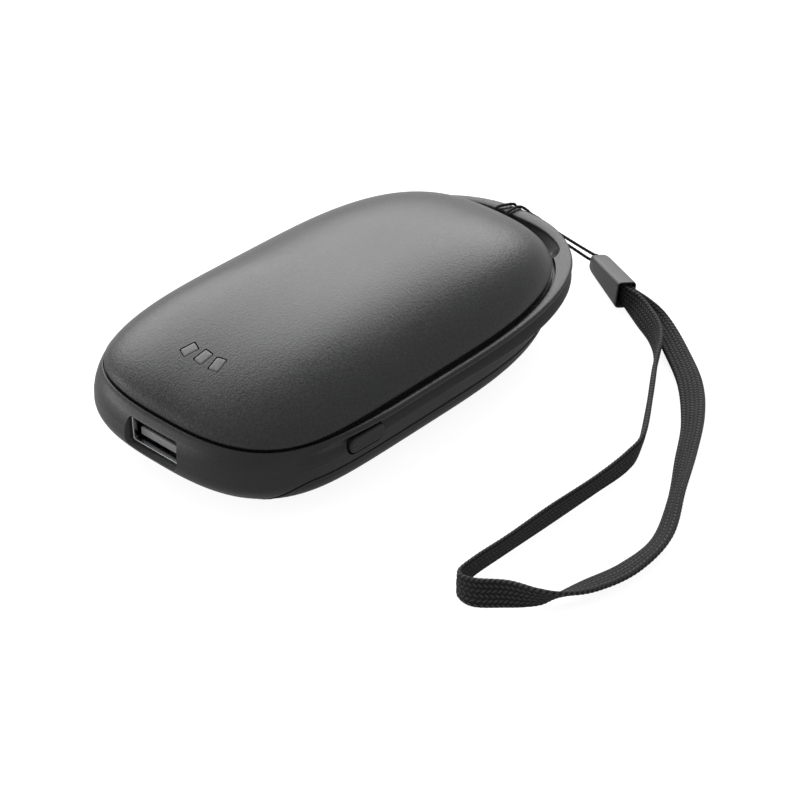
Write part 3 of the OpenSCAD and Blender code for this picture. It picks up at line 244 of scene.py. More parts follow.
def ledge_outline():
    """The same three sizes of the ledge, the lanyard ring included."""
    c = case()
    return (c.dome_usb + c.ledge_usb, c.dome_ring + c.ledge_ring, c.dome_half + c.ledge_side)


def grown(outline, amount):
    """An outline moved out by an amount on every side, or in where it is negative."""
    return tuple(o + amount for o in outline)


def outline_point(outline, turn):
    """Point of an outline at an angle, as a square ended oval."""
    c, s = math.cos(turn), math.sin(turn)
    reach, power = (outline[0], USB_POWER) if c < 0 else (outline[1], RING_POWER)
    mass = abs(c) ** power + abs(s) ** SIDE_POWER
    return (
        case().widest_x + reach * c / mass ** (1 / power),
        outline[2] * s / mass ** (1 / SIDE_POWER),
    )


def outline_row(outline, z, share=1.0, lean=0.0):
    """A row of points on an outline, shrunk to a share and leaned towards the ring end."""
    wide = case().widest_x
    row = []
    for i in range(AROUND):
        x, y = outline_point(outline, 2 * math.pi * i / AROUND)
        row.append(Vector((wide + (x - wide) * share + lean, y * share, z)))
    return row


def side_at(outline, x):
    """Half width of an outline at a place along the case."""
    c = x - case().widest_x
    reach, power = (outline[0], USB_POWER) if c < 0 else (outline[1], RING_POWER)
    return outline[2] * (1 - (abs(c) / reach) ** power) ** (1 / SIDE_POWER)


def usb_end_at(outline, y):
    """Socket end of an outline at a place across the case."""
    return case().widest_x - outline[0] * (1 - (abs(y) / outline[2]) ** SIDE_POWER) ** (1 / USB_POWER)


def ring_end_at(outline, y):
    """Ring end of an outline at a place across the case."""
    return case().widest_x + outline[1] * (1 - (abs(y) / outline[2]) ** SIDE_POWER) ** (1 / RING_POWER)


def base_share(z):
    """Share of the belly's outline that the base has at a height."""
    low = max(0.0, case().belly_z - z)
    return (1 - (low / BASE_ROUND) ** 2) ** (1 / BASE_POWER)


def base_height(x, y):
    """Height of the base's outside over a place."""
    c = case()
    reach, power = (c.belly_usb, USB_POWER) if x < c.widest_x else (c.belly_ring, RING_POWER)
    low, high = 0.01, 1.0
    for _ in range(40):
        share = (low + high) / 2
        along, across = abs(x - c.widest_x) / (share * reach), abs(y) / (share * c.belly_half)
        low, high = (low, share) if along ** power + across ** SIDE_POWER < 1 else (share, high)
    return max(0.0, c.belly_z - BASE_ROUND * math.sqrt(1 - share ** BASE_POWER))


def swelled(row, flank=0.0):
    """A row whose ring end swells out in the middle, and whose corners there stand out by flank."""
    c = case()
    out = []
    for p in row:
        if p.x > c.widest_x:
            turn = math.atan2(p.y, p.x - c.widest_x)
            corner = flank * math.sin(2 * turn) ** 2
            swell = RING_SWELL * max(0.0, 1 - (p.y / RING_SWELL_HALF) ** 2) ** 2
            p = Vector((p.x + swell + corner * math.cos(turn), p.y + corner * math.sin(turn), p.z))
        out.append(p)
    return out


def eased(x, start, end):
    """Zero up to the start, one from the end on, and a smooth rise between them."""
    u = min(1.0, max(0.0, (x - start) / (end - start)))
    return u * u * (3 - 2 * u)


def parting_at(x):
    """Height of the parting line, which drops under the socket."""
    c = case()
    rise = eased(x, c.widest_x - c.belly_usb * 0.99, c.widest_x - c.belly_usb * 0.7)
    return c.parting_usb_z + (c.parting_z - c.parting_usb_z) * rise


# Mesh helpers

# Points closer than this become one: in a fresh mesh, and after a cut
MERGE, MERGE_CUT = 1e-7, 2e-6


def curve_point(a, b, c, d, u):
    """Point between b and c on a smooth curve through four points."""
    return (2 * b + (c - a) * u + (2 * a - 5 * b + 4 * c - d) * u * u + (3 * b - 3 * c + d - a) * u ** 3) / 2


def smoothed(rows, steps):
    """Rows with more rows between them, on smooth curves from row to row."""
    last = len(rows) - 1
    out = []
    for k in range(last):
        a, b, c, d = rows[max(0, k - 1)], rows[k], rows[k + 1], rows[min(last, k + 2)]
        for s in range(steps):
            out.append([curve_point(a[i], b[i], c[i], d[i], s / steps) for i in range(len(b))])
    out.append(rows[last])
    return out


def loop_edges(loop):
    """Edges along a closed loop of vertices."""
    after = [*loop[1:], loop[0]]
    return [next(e for e in v.link_edges if e.other_vert(v) is w) for v, w in zip(loop, after)]


def extrude_loop(bm, loop, row):
    """Extrudes a closed loop and moves the new vertices to a row of points."""
    made = bmesh.ops.extrude_edge_only(bm, edges=loop_edges(loop))["geom"]
    fresh = {g for g in made if isinstance(g, bmesh.types.BMVert)}
    out = [next(e.other_vert(v) for e in v.link_edges if e.other_vert(v) in fresh) for v in loop]
    for v, p in zip(out, row):
        v.co = p
    return out


def loft(bm, rows, start="open", end="open"):
    """A skin extruded from row to row. Ends are open, flat or a pole, and "join" closes it on itself."""
    first = bmesh.ops.create_circle(bm, cap_ends=False, radius=1.0, segments=len(rows[0]))["verts"]
    for v, p in zip(first, rows[0]):
        v.co = p
    loops = [first]
    for row in rows[1:]:
        loops.append(extrude_loop(bm, loops[-1], row))
    if end == "join":
        bmesh.ops.bridge_loops(bm, edges=loop_edges(first) + loop_edges(loops[-1]))
        return loops
    for kind, edge in ((start, first), (end, loops[-1])):
        if kind == "flat":
            bmesh.ops.edgeloop_fill(bm, edges=loop_edges(edge))
        elif kind == "pole":
            middle = sum((v.co for v in edge), Vector()) / len(edge)
            bmesh.ops.pointmerge(bm, verts=edge, merge_co=middle)
    return loops


def finish_mesh(bm, name, angle=32.0):
    """Merges doubles, turns faces outwards and gives smooth shading with sharp edges kept."""
    bmesh.ops.remove_doubles(bm, verts=bm.verts, dist=MERGE)
    bmesh.ops.recalc_face_normals(bm, faces=bm.faces)
    mesh = bpy.data.meshes.new(name)
    bm.to_mesh(mesh)
    bm.free()
    mesh.shade_smooth()
    mesh.set_sharp_from_angle(angle=math.radians(angle))
    return mesh


def add_object(name, mesh):
    """Puts a mesh in the scene as an object at the origin."""
    piece = bpy.data.objects.new(name, mesh)
    bpy.context.scene.collection.objects.link(piece)
    return piece


def add_piece(name, mesh, material, body, replaces=()):
    """A finished piece: its object, finish, body, material slot and the solids that it stands for."""
    piece = add_object(name, mesh)
    if not mesh.materials:
        mesh.materials.append(material)
    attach(piece, body)
    if replaces:
        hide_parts(*replaces)
    return piece


def carve(mesh, cutter_mesh, angle=32.0):
    """Cuts one mesh out of another and returns the result, smooth shaded with sharp edges kept."""
    block, cutter = add_object("block", mesh), add_object("cutter", cutter_mesh)
    cut = block.modifiers.new("cut", "BOOLEAN")
    cut.object, cut.operation, cut.solver = cutter, "DIFFERENCE", "EXACT"
    graph = bpy.context.evaluated_depsgraph_get()
    result = bpy.data.meshes.new_from_object(block.evaluated_get(graph))
    result.name = mesh.name
    bpy.data.objects.remove(block)
    bpy.data.objects.remove(cutter)
    bpy.data.meshes.remove(mesh)
    bpy.data.meshes.remove(cutter_mesh)
    bm = bmesh.new()
    bm.from_mesh(result)
    bmesh.ops.remove_doubles(bm, verts=bm.verts, dist=MERGE_CUT)
    bmesh.ops.dissolve_degenerate(bm, edges=bm.edges, dist=MERGE_CUT)
    bm.to_mesh(result)
    bm.free()
    result.materials.clear()
    result.shade_smooth()
    result.set_sharp_from_angle(angle=math.radians(angle))
    return result


def round_box(wide, high, radius, steps=6):
    """Points of a rectangle with round corners, anticlockwise from the right."""
    out = []
    for q in range(4):
        x = (wide / 2 - radius) * (1 if q in (0, 3) else -1)
        y = (high / 2 - radius) * (1 if q < 2 else -1)
        for k in range(steps + 1):
            a = math.radians(90 * (q + k / steps))
            out.append((x + radius * math.cos(a), y + radius * math.sin(a)))
    return out


def pill_box(long, high, steps=16):
    """Points of a pill shape, anticlockwise from the right."""
    out = []
    for q in range(2):
        side = 1 if q == 0 else -1
        for k in range(steps + 1):
            a = math.radians(-90 + 180 * q + 180 * k / steps)
            out.append((side * (long - high) / 2 + high / 2 * math.cos(a), high / 2 * math.sin(a)))
    return out


def round_row(middle, radius, z, count):
    """A level circle of points."""
    turns = [2 * math.pi * k / count for k in range(count)]
    return [Vector((middle.x + radius * math.cos(a), middle.y + radius * math.sin(a), z)) for a in turns]


def block(bm, low, high, bevel=0.0, segments=2):
    """A box between two corners, with its edges bevelled."""
    low, high = Vector(low), Vector(high)
    lay = Matrix.Translation((low + high) / 2) @ Matrix.Diagonal((*(high - low), 1))
    made = bmesh.ops.create_cube(bm, size=1.0, matrix=lay)
    if bevel:
        edges = {e for v in made["verts"] for e in v.link_edges}
        bmesh.ops.bevel(
            bm, geom=list(edges), offset=bevel, segments=segments, profile=0.5, affect="EDGES", material=-1
        )


# Materials


def shader_of(material):
    """A material's main shader."""
    return next(n for n in material.node_tree.nodes if n.type == "BSDF_PRINCIPLED")


def feed(made, inputs):
    """Links or sets a shader node's inputs."""
    for key, value in inputs.items():
        if isinstance(value, bpy.types.NodeSocket):
            made.id_data.links.new(value, made.inputs[key])
        else:
            made.inputs[key].default_value = value


def node(tree, kind, inputs=(), **values):
    """Adds a shader node, sets its values and fills or links its inputs."""
    made = tree.nodes.new(kind)
    for key, value in values.items():
        setattr(made, key, value)
    feed(made, dict(inputs))
    return made


def fresh_material(name):
    """An empty material, its nodes and each point's place on the object."""
    material = bpy.data.materials.new(name)
    material.use_nodes = True
    tree = material.node_tree
    return material, tree, node(tree, "ShaderNodeTexCoord").outputs["Object"]


def maths(tree, operation, a, b=0.0, c=0.0):
    """A Math node's result."""
    return node(tree, "ShaderNodeMath", {0: a, 1: b, 2: c}, operation=operation).outputs[0]


def added(tree, *parts):
    """A weighted sum of pairs of a value and its weight."""
    first, *others = [maths(tree, "MULTIPLY", value, weight) for value, weight in parts]
    for other in others:
        first = maths(tree, "ADD", first, other)
    return first


def noise(tree, place, scale, detail=3.0, roughness=0.5, distortion=0.0):
    """Noise at a place, in cells to the metre."""
    values = {"Scale": scale, "Detail": detail, "Roughness": roughness, "Distortion": distortion}
    return node(tree, "ShaderNodeTexNoise", {"Vector": place, **values}).outputs["Fac"]


def spread(tree, value, low, high, start=0.0, end=1.0):
    """A value mapped from one range to another."""
    values = {"Value": value, "From Min": start, "From Max": end, "To Min": low, "To Max": high}
    return node(tree, "ShaderNodeMapRange", values).outputs["Result"]


def bumped(tree, height, depth, strength=1.0):
    """Surface directions from a height."""
    values = {"Height": height, "Strength": strength, "Distance": depth}
    return node(tree, "ShaderNodeBump", values).outputs["Normal"]


def shades(tree, factor, colour, dark, light):
    """A colour between a darker and a lighter one of itself."""
    ends = {key: (*(min(1.0, c * part) for c in colour), 1.0) for key, part in ((6, dark), (7, light))}
    return node(tree, "ShaderNodeMix", {0: factor, **ends}, data_type="RGBA").outputs[2]


def moulded_plastic(name, colour, roughness=0.45, grain=0.22 * MM, depth=0.012 * MM, vary=0.12, gloss=0.5):
    """Moulded plastic with a fine spark grain, soft clouds in its tone and a little polish from handling."""
    material, tree, place = fresh_material(name)
    fine = noise(tree, place, 1 / grain, 3.0, 0.65)
    clouds = noise(tree, place, 90.0, 4.0, 0.55)
    tone = spread(tree, added(tree, (fine, 0.85), (clouds, 0.15)), 0.0, 1.0, 0.3, 0.7)
    polish = spread(tree, clouds, roughness - 0.012, roughness + 0.012, 0.35, 0.65)
    feed(shader_of(material), {
        "Base Color": shades(tree, tone, colour, 1 - vary, 1 + vary),
        "Roughness": maths(tree, "ADD", polish, spread(tree, fine, -0.05, 0.05, 0.35, 0.65)),
        "Normal": bumped(tree, fine, depth),
        "Specular IOR Level": gloss,
    })
    return material


def plated_metal(name, colour, roughness=0.28, lay=(0.04, 1.0, 1.0), depth=0.004 * MM):
    """Plated sheet metal with fine rolling lines and a few dull patches."""
    material, tree, place = fresh_material(name)
    drawn = node(tree, "ShaderNodeMapping", {"Vector": place, "Scale": lay}).outputs["Vector"]
    lines = noise(tree, drawn, 9000.0, 3.0, 0.6)
    tone = added(tree, (lines, 0.5), (noise(tree, place, 420.0), 0.5))
    feed(shader_of(material), {
        "Base Color": shades(tree, tone, colour, 0.86, 1.1),
        "Roughness": spread(tree, tone, roughness - 0.08, roughness + 0.12, 0.3, 0.7),
        "Normal": bumped(tree, lines, depth),
        "Metallic": 1.0,
    })
    return material


def shadowed(material, start, end):
    """Paints shade into a finish along X, darker deeper inside an opening."""
    tree, shader = material.node_tree, shader_of(material)
    colour = shader.inputs["Base Color"].links[0].from_socket
    place = node(tree, "ShaderNodeTexCoord").outputs["Object"]
    along = node(tree, "ShaderNodeSeparateXYZ", {"Vector": place}).outputs["X"]
    # Painted shade: from start to end along X the colour fades 93 per cent of the way to black.
    deep = spread(tree, along, 0.0, 0.93, start, end)
    painted_shade = node(tree, "ShaderNodeMix", {0: deep, 6: colour, 7: (0.0, 0.0, 0.0, 1.0)}, data_type="RGBA")
    feed(shader, {"Base Color": painted_shade.outputs[2]})


def rubbery(name, colour, roughness=0.7, grain=0.3 * MM, depth=0.02 * MM):
    """Rubber or soft insulation with a dull, slightly dusty skin."""
    material = moulded_plastic(name, colour, roughness, grain, depth, vary=0.18, gloss=0.3)
    feed(shader_of(material), {"Sheen Weight": 0.15, "Sheen Roughness": 0.5})
    return material


def milky_plastic(name, colour):
    """Milky light guide plastic, softly scattering, with faint flow marks."""
    material, tree, place = fresh_material(name)
    flow = noise(tree, place, 900.0, 4.0, distortion=0.6)
    fine = noise(tree, place, 6000.0, 2.0)
    feed(shader_of(material), {
        "Base Color": shades(tree, flow, colour, 0.86, 1.1),
        "Roughness": spread(tree, fine, 0.38, 0.52),
        "Normal": bumped(tree, fine, 0.006 * MM),
        "Subsurface Weight": 0.2,
        "Subsurface Radius": (0.001, 0.001, 0.001),
        "Subsurface Scale": 0.5,
    })
    return material


# The braid: slope of a plait's hump and of its sides, each column's step along, and the plaits' slant
HUMP_POWER, RIDGE_POWER, COLUMN_STEP, STRAP_SLANT = 1.5, 1.8, 0.37, 0.9


def braided_yarn(name, colour, pitch, columns, slant, depth):
    """Braid read from the piece's own map: U runs along it in metres, V once round it. Plait tops carry a
    painted highlight and the gaps between them painted shade.
    """
    material, tree, place = fresh_material(name)

    def centred(value):
        """Place in its cell, from -0.5 to 0.5."""
        return maths(tree, "SUBTRACT", maths(tree, "FRACT", value), 0.5)

    def rounded(value, power):
        """One in the middle of a cell and zero at its edges."""
        out = maths(tree, "ABSOLUTE", maths(tree, "MULTIPLY", value, 2.0))
        return maths(tree, "SUBTRACT", 1.0, maths(tree, "POWER", out, power))

    fabric = node(tree, "ShaderNodeUVMap", uv_map="Along").outputs["UV"]
    parts = node(tree, "ShaderNodeSeparateXYZ", {"Vector": fabric}).outputs
    column = maths(tree, "MULTIPLY", parts["Y"], float(columns))
    across = centred(column)
    index = maths(tree, "FLOOR", column)
    side = maths(tree, "MULTIPLY_ADD", maths(tree, "FLOORED_MODULO", index, 2.0), -2.0, 1.0)
    lean = maths(tree, "MULTIPLY", maths(tree, "MULTIPLY", across, side), slant)
    step = maths(tree, "MULTIPLY", index, COLUMN_STEP)
    run = maths(tree, "ADD", maths(tree, "DIVIDE", parts["X"], pitch), step)
    cycle = centred(maths(tree, "ADD", run, lean))
    plait = maths(tree, "MULTIPLY", rounded(cycle, HUMP_POWER), rounded(across, RIDGE_POWER))
    fuzz = noise(tree, place, 5200.0, 4.0, 0.7)
    strand = maths(tree, "ADD", column, maths(tree, "MULTIPLY", cycle, side))
    strands = maths(tree, "ABSOLUTE", maths(tree, "SINE", maths(tree, "MULTIPLY", strand, 5 * math.pi)))
    height = added(tree, (plait, 1.0), (strands, 0.14), (fuzz, 0.3))
    worn = spread(tree, noise(tree, place, 160.0), 0.7, 1.15, 0.3, 0.7)
    # Painted highlight and shade: the colour runs from a quarter of the yarn's own in the gaps to several
    # times it on the plait tops, times a random worn tone.
    painted_light_and_wear = maths(tree, "MULTIPLY", spread(tree, height, 0.0, 1.0, 0.45, 1.2), worn)
    feed(shader_of(material), {
        "Base Color": shades(tree, painted_light_and_wear, colour, 0.25, 4.6),
        "Roughness": spread(tree, fuzz, 0.62, 0.85),
        "Normal": bumped(tree, height, depth),
        "Specular IOR Level": 0.3,
        "Sheen Weight": 0.05,
        "Sheen Roughness": 0.4,
    })
    return material


def solder_mask(name, colour):
    """Circuit board: solder mask over a faint copper pattern."""
    material, tree, place = fresh_material(name)
    greys = {key: (grey, grey, grey, 1) for key, grey in (("Color1", 0), ("Color2", 0.3), ("Mortar", 1))}
    bricks = {"Vector": place, "Scale": 260.0, "Mortar Size": 0.03, **greys}
    tracks = node(tree, "ShaderNodeTexBrick", bricks).outputs["Color"]
    feed(shader_of(material), {
        "Base Color": shades(tree, tracks, colour, 1.0, 1.9),
        "Roughness": spread(tree, noise(tree, place, 1500.0), 0.22, 0.4),
        "Normal": bumped(tree, tracks, 0.03 * MM, 0.6),
    })
    return material


def dress(node_name, material):
    """Gives a solid that stays as it is its finish."""
    mesh = frame["nodes"][node_name].data
    mesh.materials.clear()
    mesh.materials.append(material)


# Camera, cord, strap and sleeve


class HANDWARMER_OT_camera(Operator):
    """Sets the camera where the photograph was taken from"""

    bl_idname = "handwarmer.camera"
    bl_label = "Camera"

    def execute(self, context):
        data = bpy.data.cameras.new("camera")
        data.lens = settings().stage.lens
        data.sensor_width = FILM_WIDE
        data.clip_start, data.clip_end = 0.01, 20.0
        camera = bpy.data.objects.new("camera", data)
        context.scene.collection.objects.link(camera)
        turn, dip = math.radians(CAMERA_TURN), math.radians(CAMERA_DIP)
        ahead = Vector((math.sin(turn) * math.cos(dip), math.cos(turn) * math.cos(dip), -math.sin(dip)))
        camera.location = CAMERA_PLACE
        camera.rotation_euler = ahead.to_track_quat("-Z", "Y").to_euler()
        context.scene.camera = camera
        return {"FINISHED"}


def along_route(route, step):
    """Points along a smooth curve through a route's points, about a step apart, with their other numbers."""
    last = len(route) - 1
    out = []
    for k in range(last):
        a, b, c, d = route[max(0, k - 1)], route[k], route[k + 1], route[min(last, k + 2)]
        count = max(2, math.ceil((Vector(c[:3]) - Vector(b[:3])).length * MM / step))
        for s in range(count):
            out.append([curve_point(a[i], b[i], c[i], d[i], s / count) for i in range(len(b))])
    out.append(list(route[last]))
    return out


def headings(points):
    """Unit direction at each point of a path."""
    last = len(points) - 1
    return [(points[min(last, i + 1)] - points[max(0, i - 1)]).normalized() for i in range(last + 1)]


def swept(bm, points, sections):
    """A skin along a path from its sections, with a map: U along it in metres, V once round it."""
    loops = loft(bm, sections, "flat", "flat")
    count = len(sections[0])
    place = {v: (row, turn) for row, loop in enumerate(loops) for turn, v in enumerate(loop)}
    lengths = [0.0]
    for a, b in zip(points, points[1:]):
        lengths.append(lengths[-1] + (b - a).length)
    layer = bm.loops.layers.uv.new("Along")
    for face in bm.faces:
        spots = [place[v] for v in face.verts]
        turns = [turn for row, turn in spots]
        wraps = max(turns) - min(turns) > count / 2
        for corner, (row, turn) in zip(face.loops, spots):
            corner[layer].uv = (lengths[row], (turn + (count if wraps and turn < count / 2 else 0)) / count)


class HANDWARMER_OT_cord(Operator):
    """Twists the thin lanyard cord round the ring's bar"""

    bl_idname = "handwarmer.cord"
    bl_label = "Lanyard cord"

    def execute(self, context):
        sizes = settings().strap
        points = [Vector(p) * MM for p in along_route(CORD_ROUTE, ROUTE_STEP)]
        directions = headings(points)
        side = Vector((0, 0, 1))
        sections, run, count, twist_pitch = [], 0.0, 12, 1.9 * MM
        for i, (p, ahead) in enumerate(zip(points, directions)):
            run += (p - points[i - 1]).length if i else 0.0
            side = (side - ahead * side.dot(ahead)).normalized()
            other = ahead.cross(side)
            twist = 2 * math.pi * run / twist_pitch
            row = []
            for k in range(count):
                a = 2 * math.pi * k / count
                r = sizes.cord_thick / 2 * (0.94 + 0.06 * math.cos(2 * (a - twist)))
                row.append(p + (side * math.cos(a) + other * math.sin(a)) * r)
            sections.append(row)
        bm = bmesh.new()
        swept(bm, points, sections)
        mesh = finish_mesh(bm, "thin_cord", 60)
        yarn = braided_yarn("cord_yarn", colours().cord, 0.9 * MM, columns=8, slant=0.8, depth=0.03 * MM)
        piece = add_piece("thin_cord", mesh, yarn, "case", ["lanyard_cord"])
        return {"FINISHED"}


def plait_height(along, round_it, pitch, columns, slant):
    """Height of the braid at a place, 0 between plaits and 1 on top of one. The yarn's shader repeats it."""
    column = round_it * columns
    index = math.floor(column)
    across = column - index - 0.5
    side = 1 - 2 * (index % 2)
    cycle = (along / pitch + index * COLUMN_STEP + across * side * slant) % 1.0 - 0.5
    return (1 - abs(2 * cycle) ** HUMP_POWER) * (1 - abs(2 * across) ** RIDGE_POWER)


# The plaits' height that lies level with the strap's faces, and where its edges bulge and how much
LEVEL_HIGH, RIM_START, RIM_RELIEF = 0.6, 0.8, 1.2


def strap_section(half_wide, half_thick):
    """Points round the strap's section: two flat faces and two round edges."""
    out, edge, spots = [], half_thick * 0.95, 24
    for q in range(2):
        side = 1 if q == 0 else -1
        for k in range(4):
            a = math.radians(-67.5 + 45 * k + 180 * q)
            out.append((side * (half_wide - edge) + edge * math.cos(a), half_thick * math.sin(a)))
        for k in range(spots):
            x = side * (half_wide - edge) * (1 - 2 * (k + 0.5) / spots)
            out.append((x, side * half_thick * (1 + 0.06 * math.cos(math.pi * x / half_wide))))
    return out


class HANDWARMER_OT_strap(Operator):
    """Weaves the flat wrist strap: one loop that leaves the sleeve and comes back to it"""

    bl_idname = "handwarmer.strap"
    bl_label = "Wrist strap"

    def execute(self, context):
        sizes = settings().strap
        stops = along_route(STRAP_ROUTE, ROUTE_STEP)
        points = [Vector(p[:3]) * MM for p in stops]
        directions = headings(points)
        half_wide, half_thick = sizes.strap_wide / 2, sizes.strap_thick / 2
        outline = strap_section(half_wide, half_thick)
        plaits = (sizes.plait, sizes.plait_columns, STRAP_SLANT)
        sections, run = [], 0.0
        for i, (p, ahead, stop) in enumerate(zip(points, directions, stops)):
            run += (p - points[i - 1]).length if i else 0.0
            level = ahead.cross(Vector((0, 0, 1))).normalized()
            lean = math.radians(stop[3])
            wide = level * math.cos(lean) + level.cross(ahead) * math.sin(lean)
            flat = ahead.cross(wide)
            row = []
            for k, (x, t) in enumerate(outline):
                high = plait_height(run, k / len(outline), *plaits)
                proud = sizes.relief * (high - LEVEL_HIGH)
                rim = max(0.0, abs(x) / half_wide - RIM_START) / (1 - RIM_START)
                across = x * stop[4] + math.copysign(proud * RIM_RELIEF * rim, x)
                row.append(p + wide * across + flat * t * (1 + proud / half_thick))
            sections.append(row)
        bm = bmesh.new()
        swept(bm, points, sections)
        mesh = finish_mesh(bm, "woven_strap", 60)
        yarn = braided_yarn("strap_yarn", colours().strap, *plaits, depth=0.16 * MM)
        piece = add_piece("woven_strap", mesh, yarn, "case", ["wrist_strap"])
        return {"FINISHED"}


class HANDWARMER_OT_sleeve(Operator):
    """Moulds the sleeve that joins cord and strap: narrow at the cord, open at the strap"""

    bl_idname = "handwarmer.sleeve"
    bl_label = "Strap sleeve"

    def execute(self, context):
        sizes = settings().strap
        lay = (
            Matrix.Translation(SLEEVE_PLACE)
            @ Matrix.Rotation(math.radians(SLEEVE_TURN), 4, "Z")
            @ Matrix.Rotation(math.radians(SLEEVE_DIP), 4, "Y")
            @ Matrix.Rotation(math.radians(SLEEVE_ROLL), 4, "X")
        )
        wall, corner = 0.4 * MM, 1.05 * MM

        def high(u):
            """Height of the sleeve at a share of its length."""
            return sizes.sleeve_mouth + (sizes.sleeve_neck - sizes.sleeve_mouth) * u

        def row(u, wide, tall, radius, crease=0.0):
            """Row at a share of the sleeve's length, with a crease along one edge."""
            flat = tall / 2 - radius
            low = max(-0.9 * flat, flat - 1.3 * MM)
            fold = [(wide / 2, low), (wide / 2 - crease * MM, low + (flat - low) * 0.88)]
            spots = fold + round_box(wide, tall, radius, 7)
            return [lay @ Vector((sizes.sleeve_long * u, y, z)) for y, z in spots]

        wide = sizes.sleeve_wide
        outside = [
            row(0.0, wide - 0.3 * MM, high(0) - 0.3 * MM, corner * 0.85),
            row(0.006, wide - 0.08 * MM, high(0) - 0.08 * MM, corner * 0.95, 0.05),
            row(0.018, wide, high(0.018), corner, 0.12),
            *(row(u, wide, high(u), corner, 0.16) for u in (0.035, 0.2, 0.4, 0.6, 0.78, 0.86)),
            row(0.92, wide * 0.97, high(0.92) * 0.975, corner, 0.13),
            row(0.955, wide * 0.91, high(0.955) * 0.92, corner, 0.08),
            row(0.98, wide * 0.82, high(0.98) * 0.84, corner * 0.9, 0.03),
            row(0.995, wide * 0.7, high(1) * 0.7, corner * 0.75),
            row(1, wide * 0.62, high(1) * 0.6, corner * 0.65),
        ]
        inside = [
            *(row(u, 2.4 * MM, 2 * MM, 0.96 * MM) for u in (0.997, 0.885)),
            row(0.86, wide - 2 * wall, high(0.9) - 3 * wall, corner * 0.5),
            row(0.05, wide - 2 * wall, high(0.05) - 2 * wall, corner * 0.5),
            row(0.008, wide - 1.85 * wall, high(0) - 1.85 * wall, corner * 0.5),
            row(0, wide - 1.4 * wall, high(0) - 1.4 * wall, corner * 0.55),
        ]
        bm = bmesh.new()
        loft(bm, outside + inside, end="join")
        mesh = finish_mesh(bm, "moulded_sleeve", 38)
        plastic = moulded_plastic("sleeve_plastic", colours().sleeve, 0.42, 0.25 * MM, 0.01 * MM, vary=0.08)
        add_piece("moulded_sleeve", mesh, plastic, "case", ["strap_sleeve"])
        return {"FINISHED"}


# Shells


def dome_rows(outline, rise, steps):
    """Rows of the dome from its lower edge to near its summit."""
    c = case()
    lean = c.dome_ring * LEAN_SHARE
    rows = []
    for k in range(steps):
        a = math.pi / 2 * k / steps
        share = math.cos(a) ** (2 / DOME_POWER)
        z = c.rim_z + DOME_LIFT + rise * math.sin(a) ** (2 * RISE_POWER)
        rows.append(outline_row(outline, z, share, lean * (1 - share)))
    return rows


WINDOW_LONG, WINDOW_WIDE, WINDOW_STEP, WINDOW_MIDDLE = 2.95 * MM, 2.2 * MM, 3.9 * MM, 0.8 * MM
# Turn of the middle window, and how much more each neighbour turns, in degrees
WINDOW_TURN, WINDOW_FAN = -7, -16
WINDOW_BACK = 15.5 * MM


def window_places():
    """Place and turn of each window."""
    x = case().widest_x - case().belly_usb + WINDOW_BACK
    places = []
    for i in (-1, 0, 1):
        turn = Matrix.Rotation(math.radians(WINDOW_TURN + WINDOW_FAN * i), 4, "Z")
        places.append(Matrix.Translation((x, WINDOW_MIDDLE + i * WINDOW_STEP, 0)) @ turn)
    return places


class HANDWARMER_OT_cover(Operator):
    """Domes the top cover and cuts its three windows"""

    bl_idname = "handwarmer.cover"
    bl_label = "Top cover"

    def execute(self, context):
        c = case()
        outline = dome_outline()
        inner = grown(outline, -c.cover_wall)
        rise = c.top_z - c.rim_z - DOME_LIFT
        skirt = []
        for share, lift in ((1, 0), (0.62, 0.04), (0.3, 0.16), (0.12, 0.34), (0.06, 0.5)):
            z, tuck = c.rim_z + lift * MM, c.tuck * share
            plain, full = (outline_row(grown(outline, -turned_in), z) for turned_in in (tuck * 0.2, tuck))
            skirt.append(faded(plain, full))
        outer = [r for r in dome_rows(outline, rise, 44) if r[0].z > c.rim_z + 0.8 * MM]
        hollow = dome_rows(inner, rise - c.cover_wall, 18)
        bm = bmesh.new()
        loft(bm, [*reversed(hollow), outline_row(inner, c.rim_z), *skirt, *outer], "pole", "pole")
        mesh = finish_mesh(bm, "dome_cover", 40)
        cutter = bmesh.new()
        gap = 0.21 * MM
        hole = round_box(WINDOW_LONG + 2 * gap, WINDOW_WIDE + 2 * gap, 0.35 * MM, 4)
        for place in window_places():
            rows = [[place @ Vector((x, y, z)) for x, y in hole] for z in (c.rim_z, c.top_z + 2 * MM)]
            loft(cutter, rows, "flat", "flat")
        mesh = carve(mesh, finish_mesh(cutter, "window_cutter"), 40)
        plastic = moulded_plastic("cover_plastic", colours().cover, 0.34, 0.5 * MM, 0.065 * MM, vary=0.5)
        add_piece("dome_cover", mesh, plastic, "case", ["top_shell"])
        return {"FINISHED"}


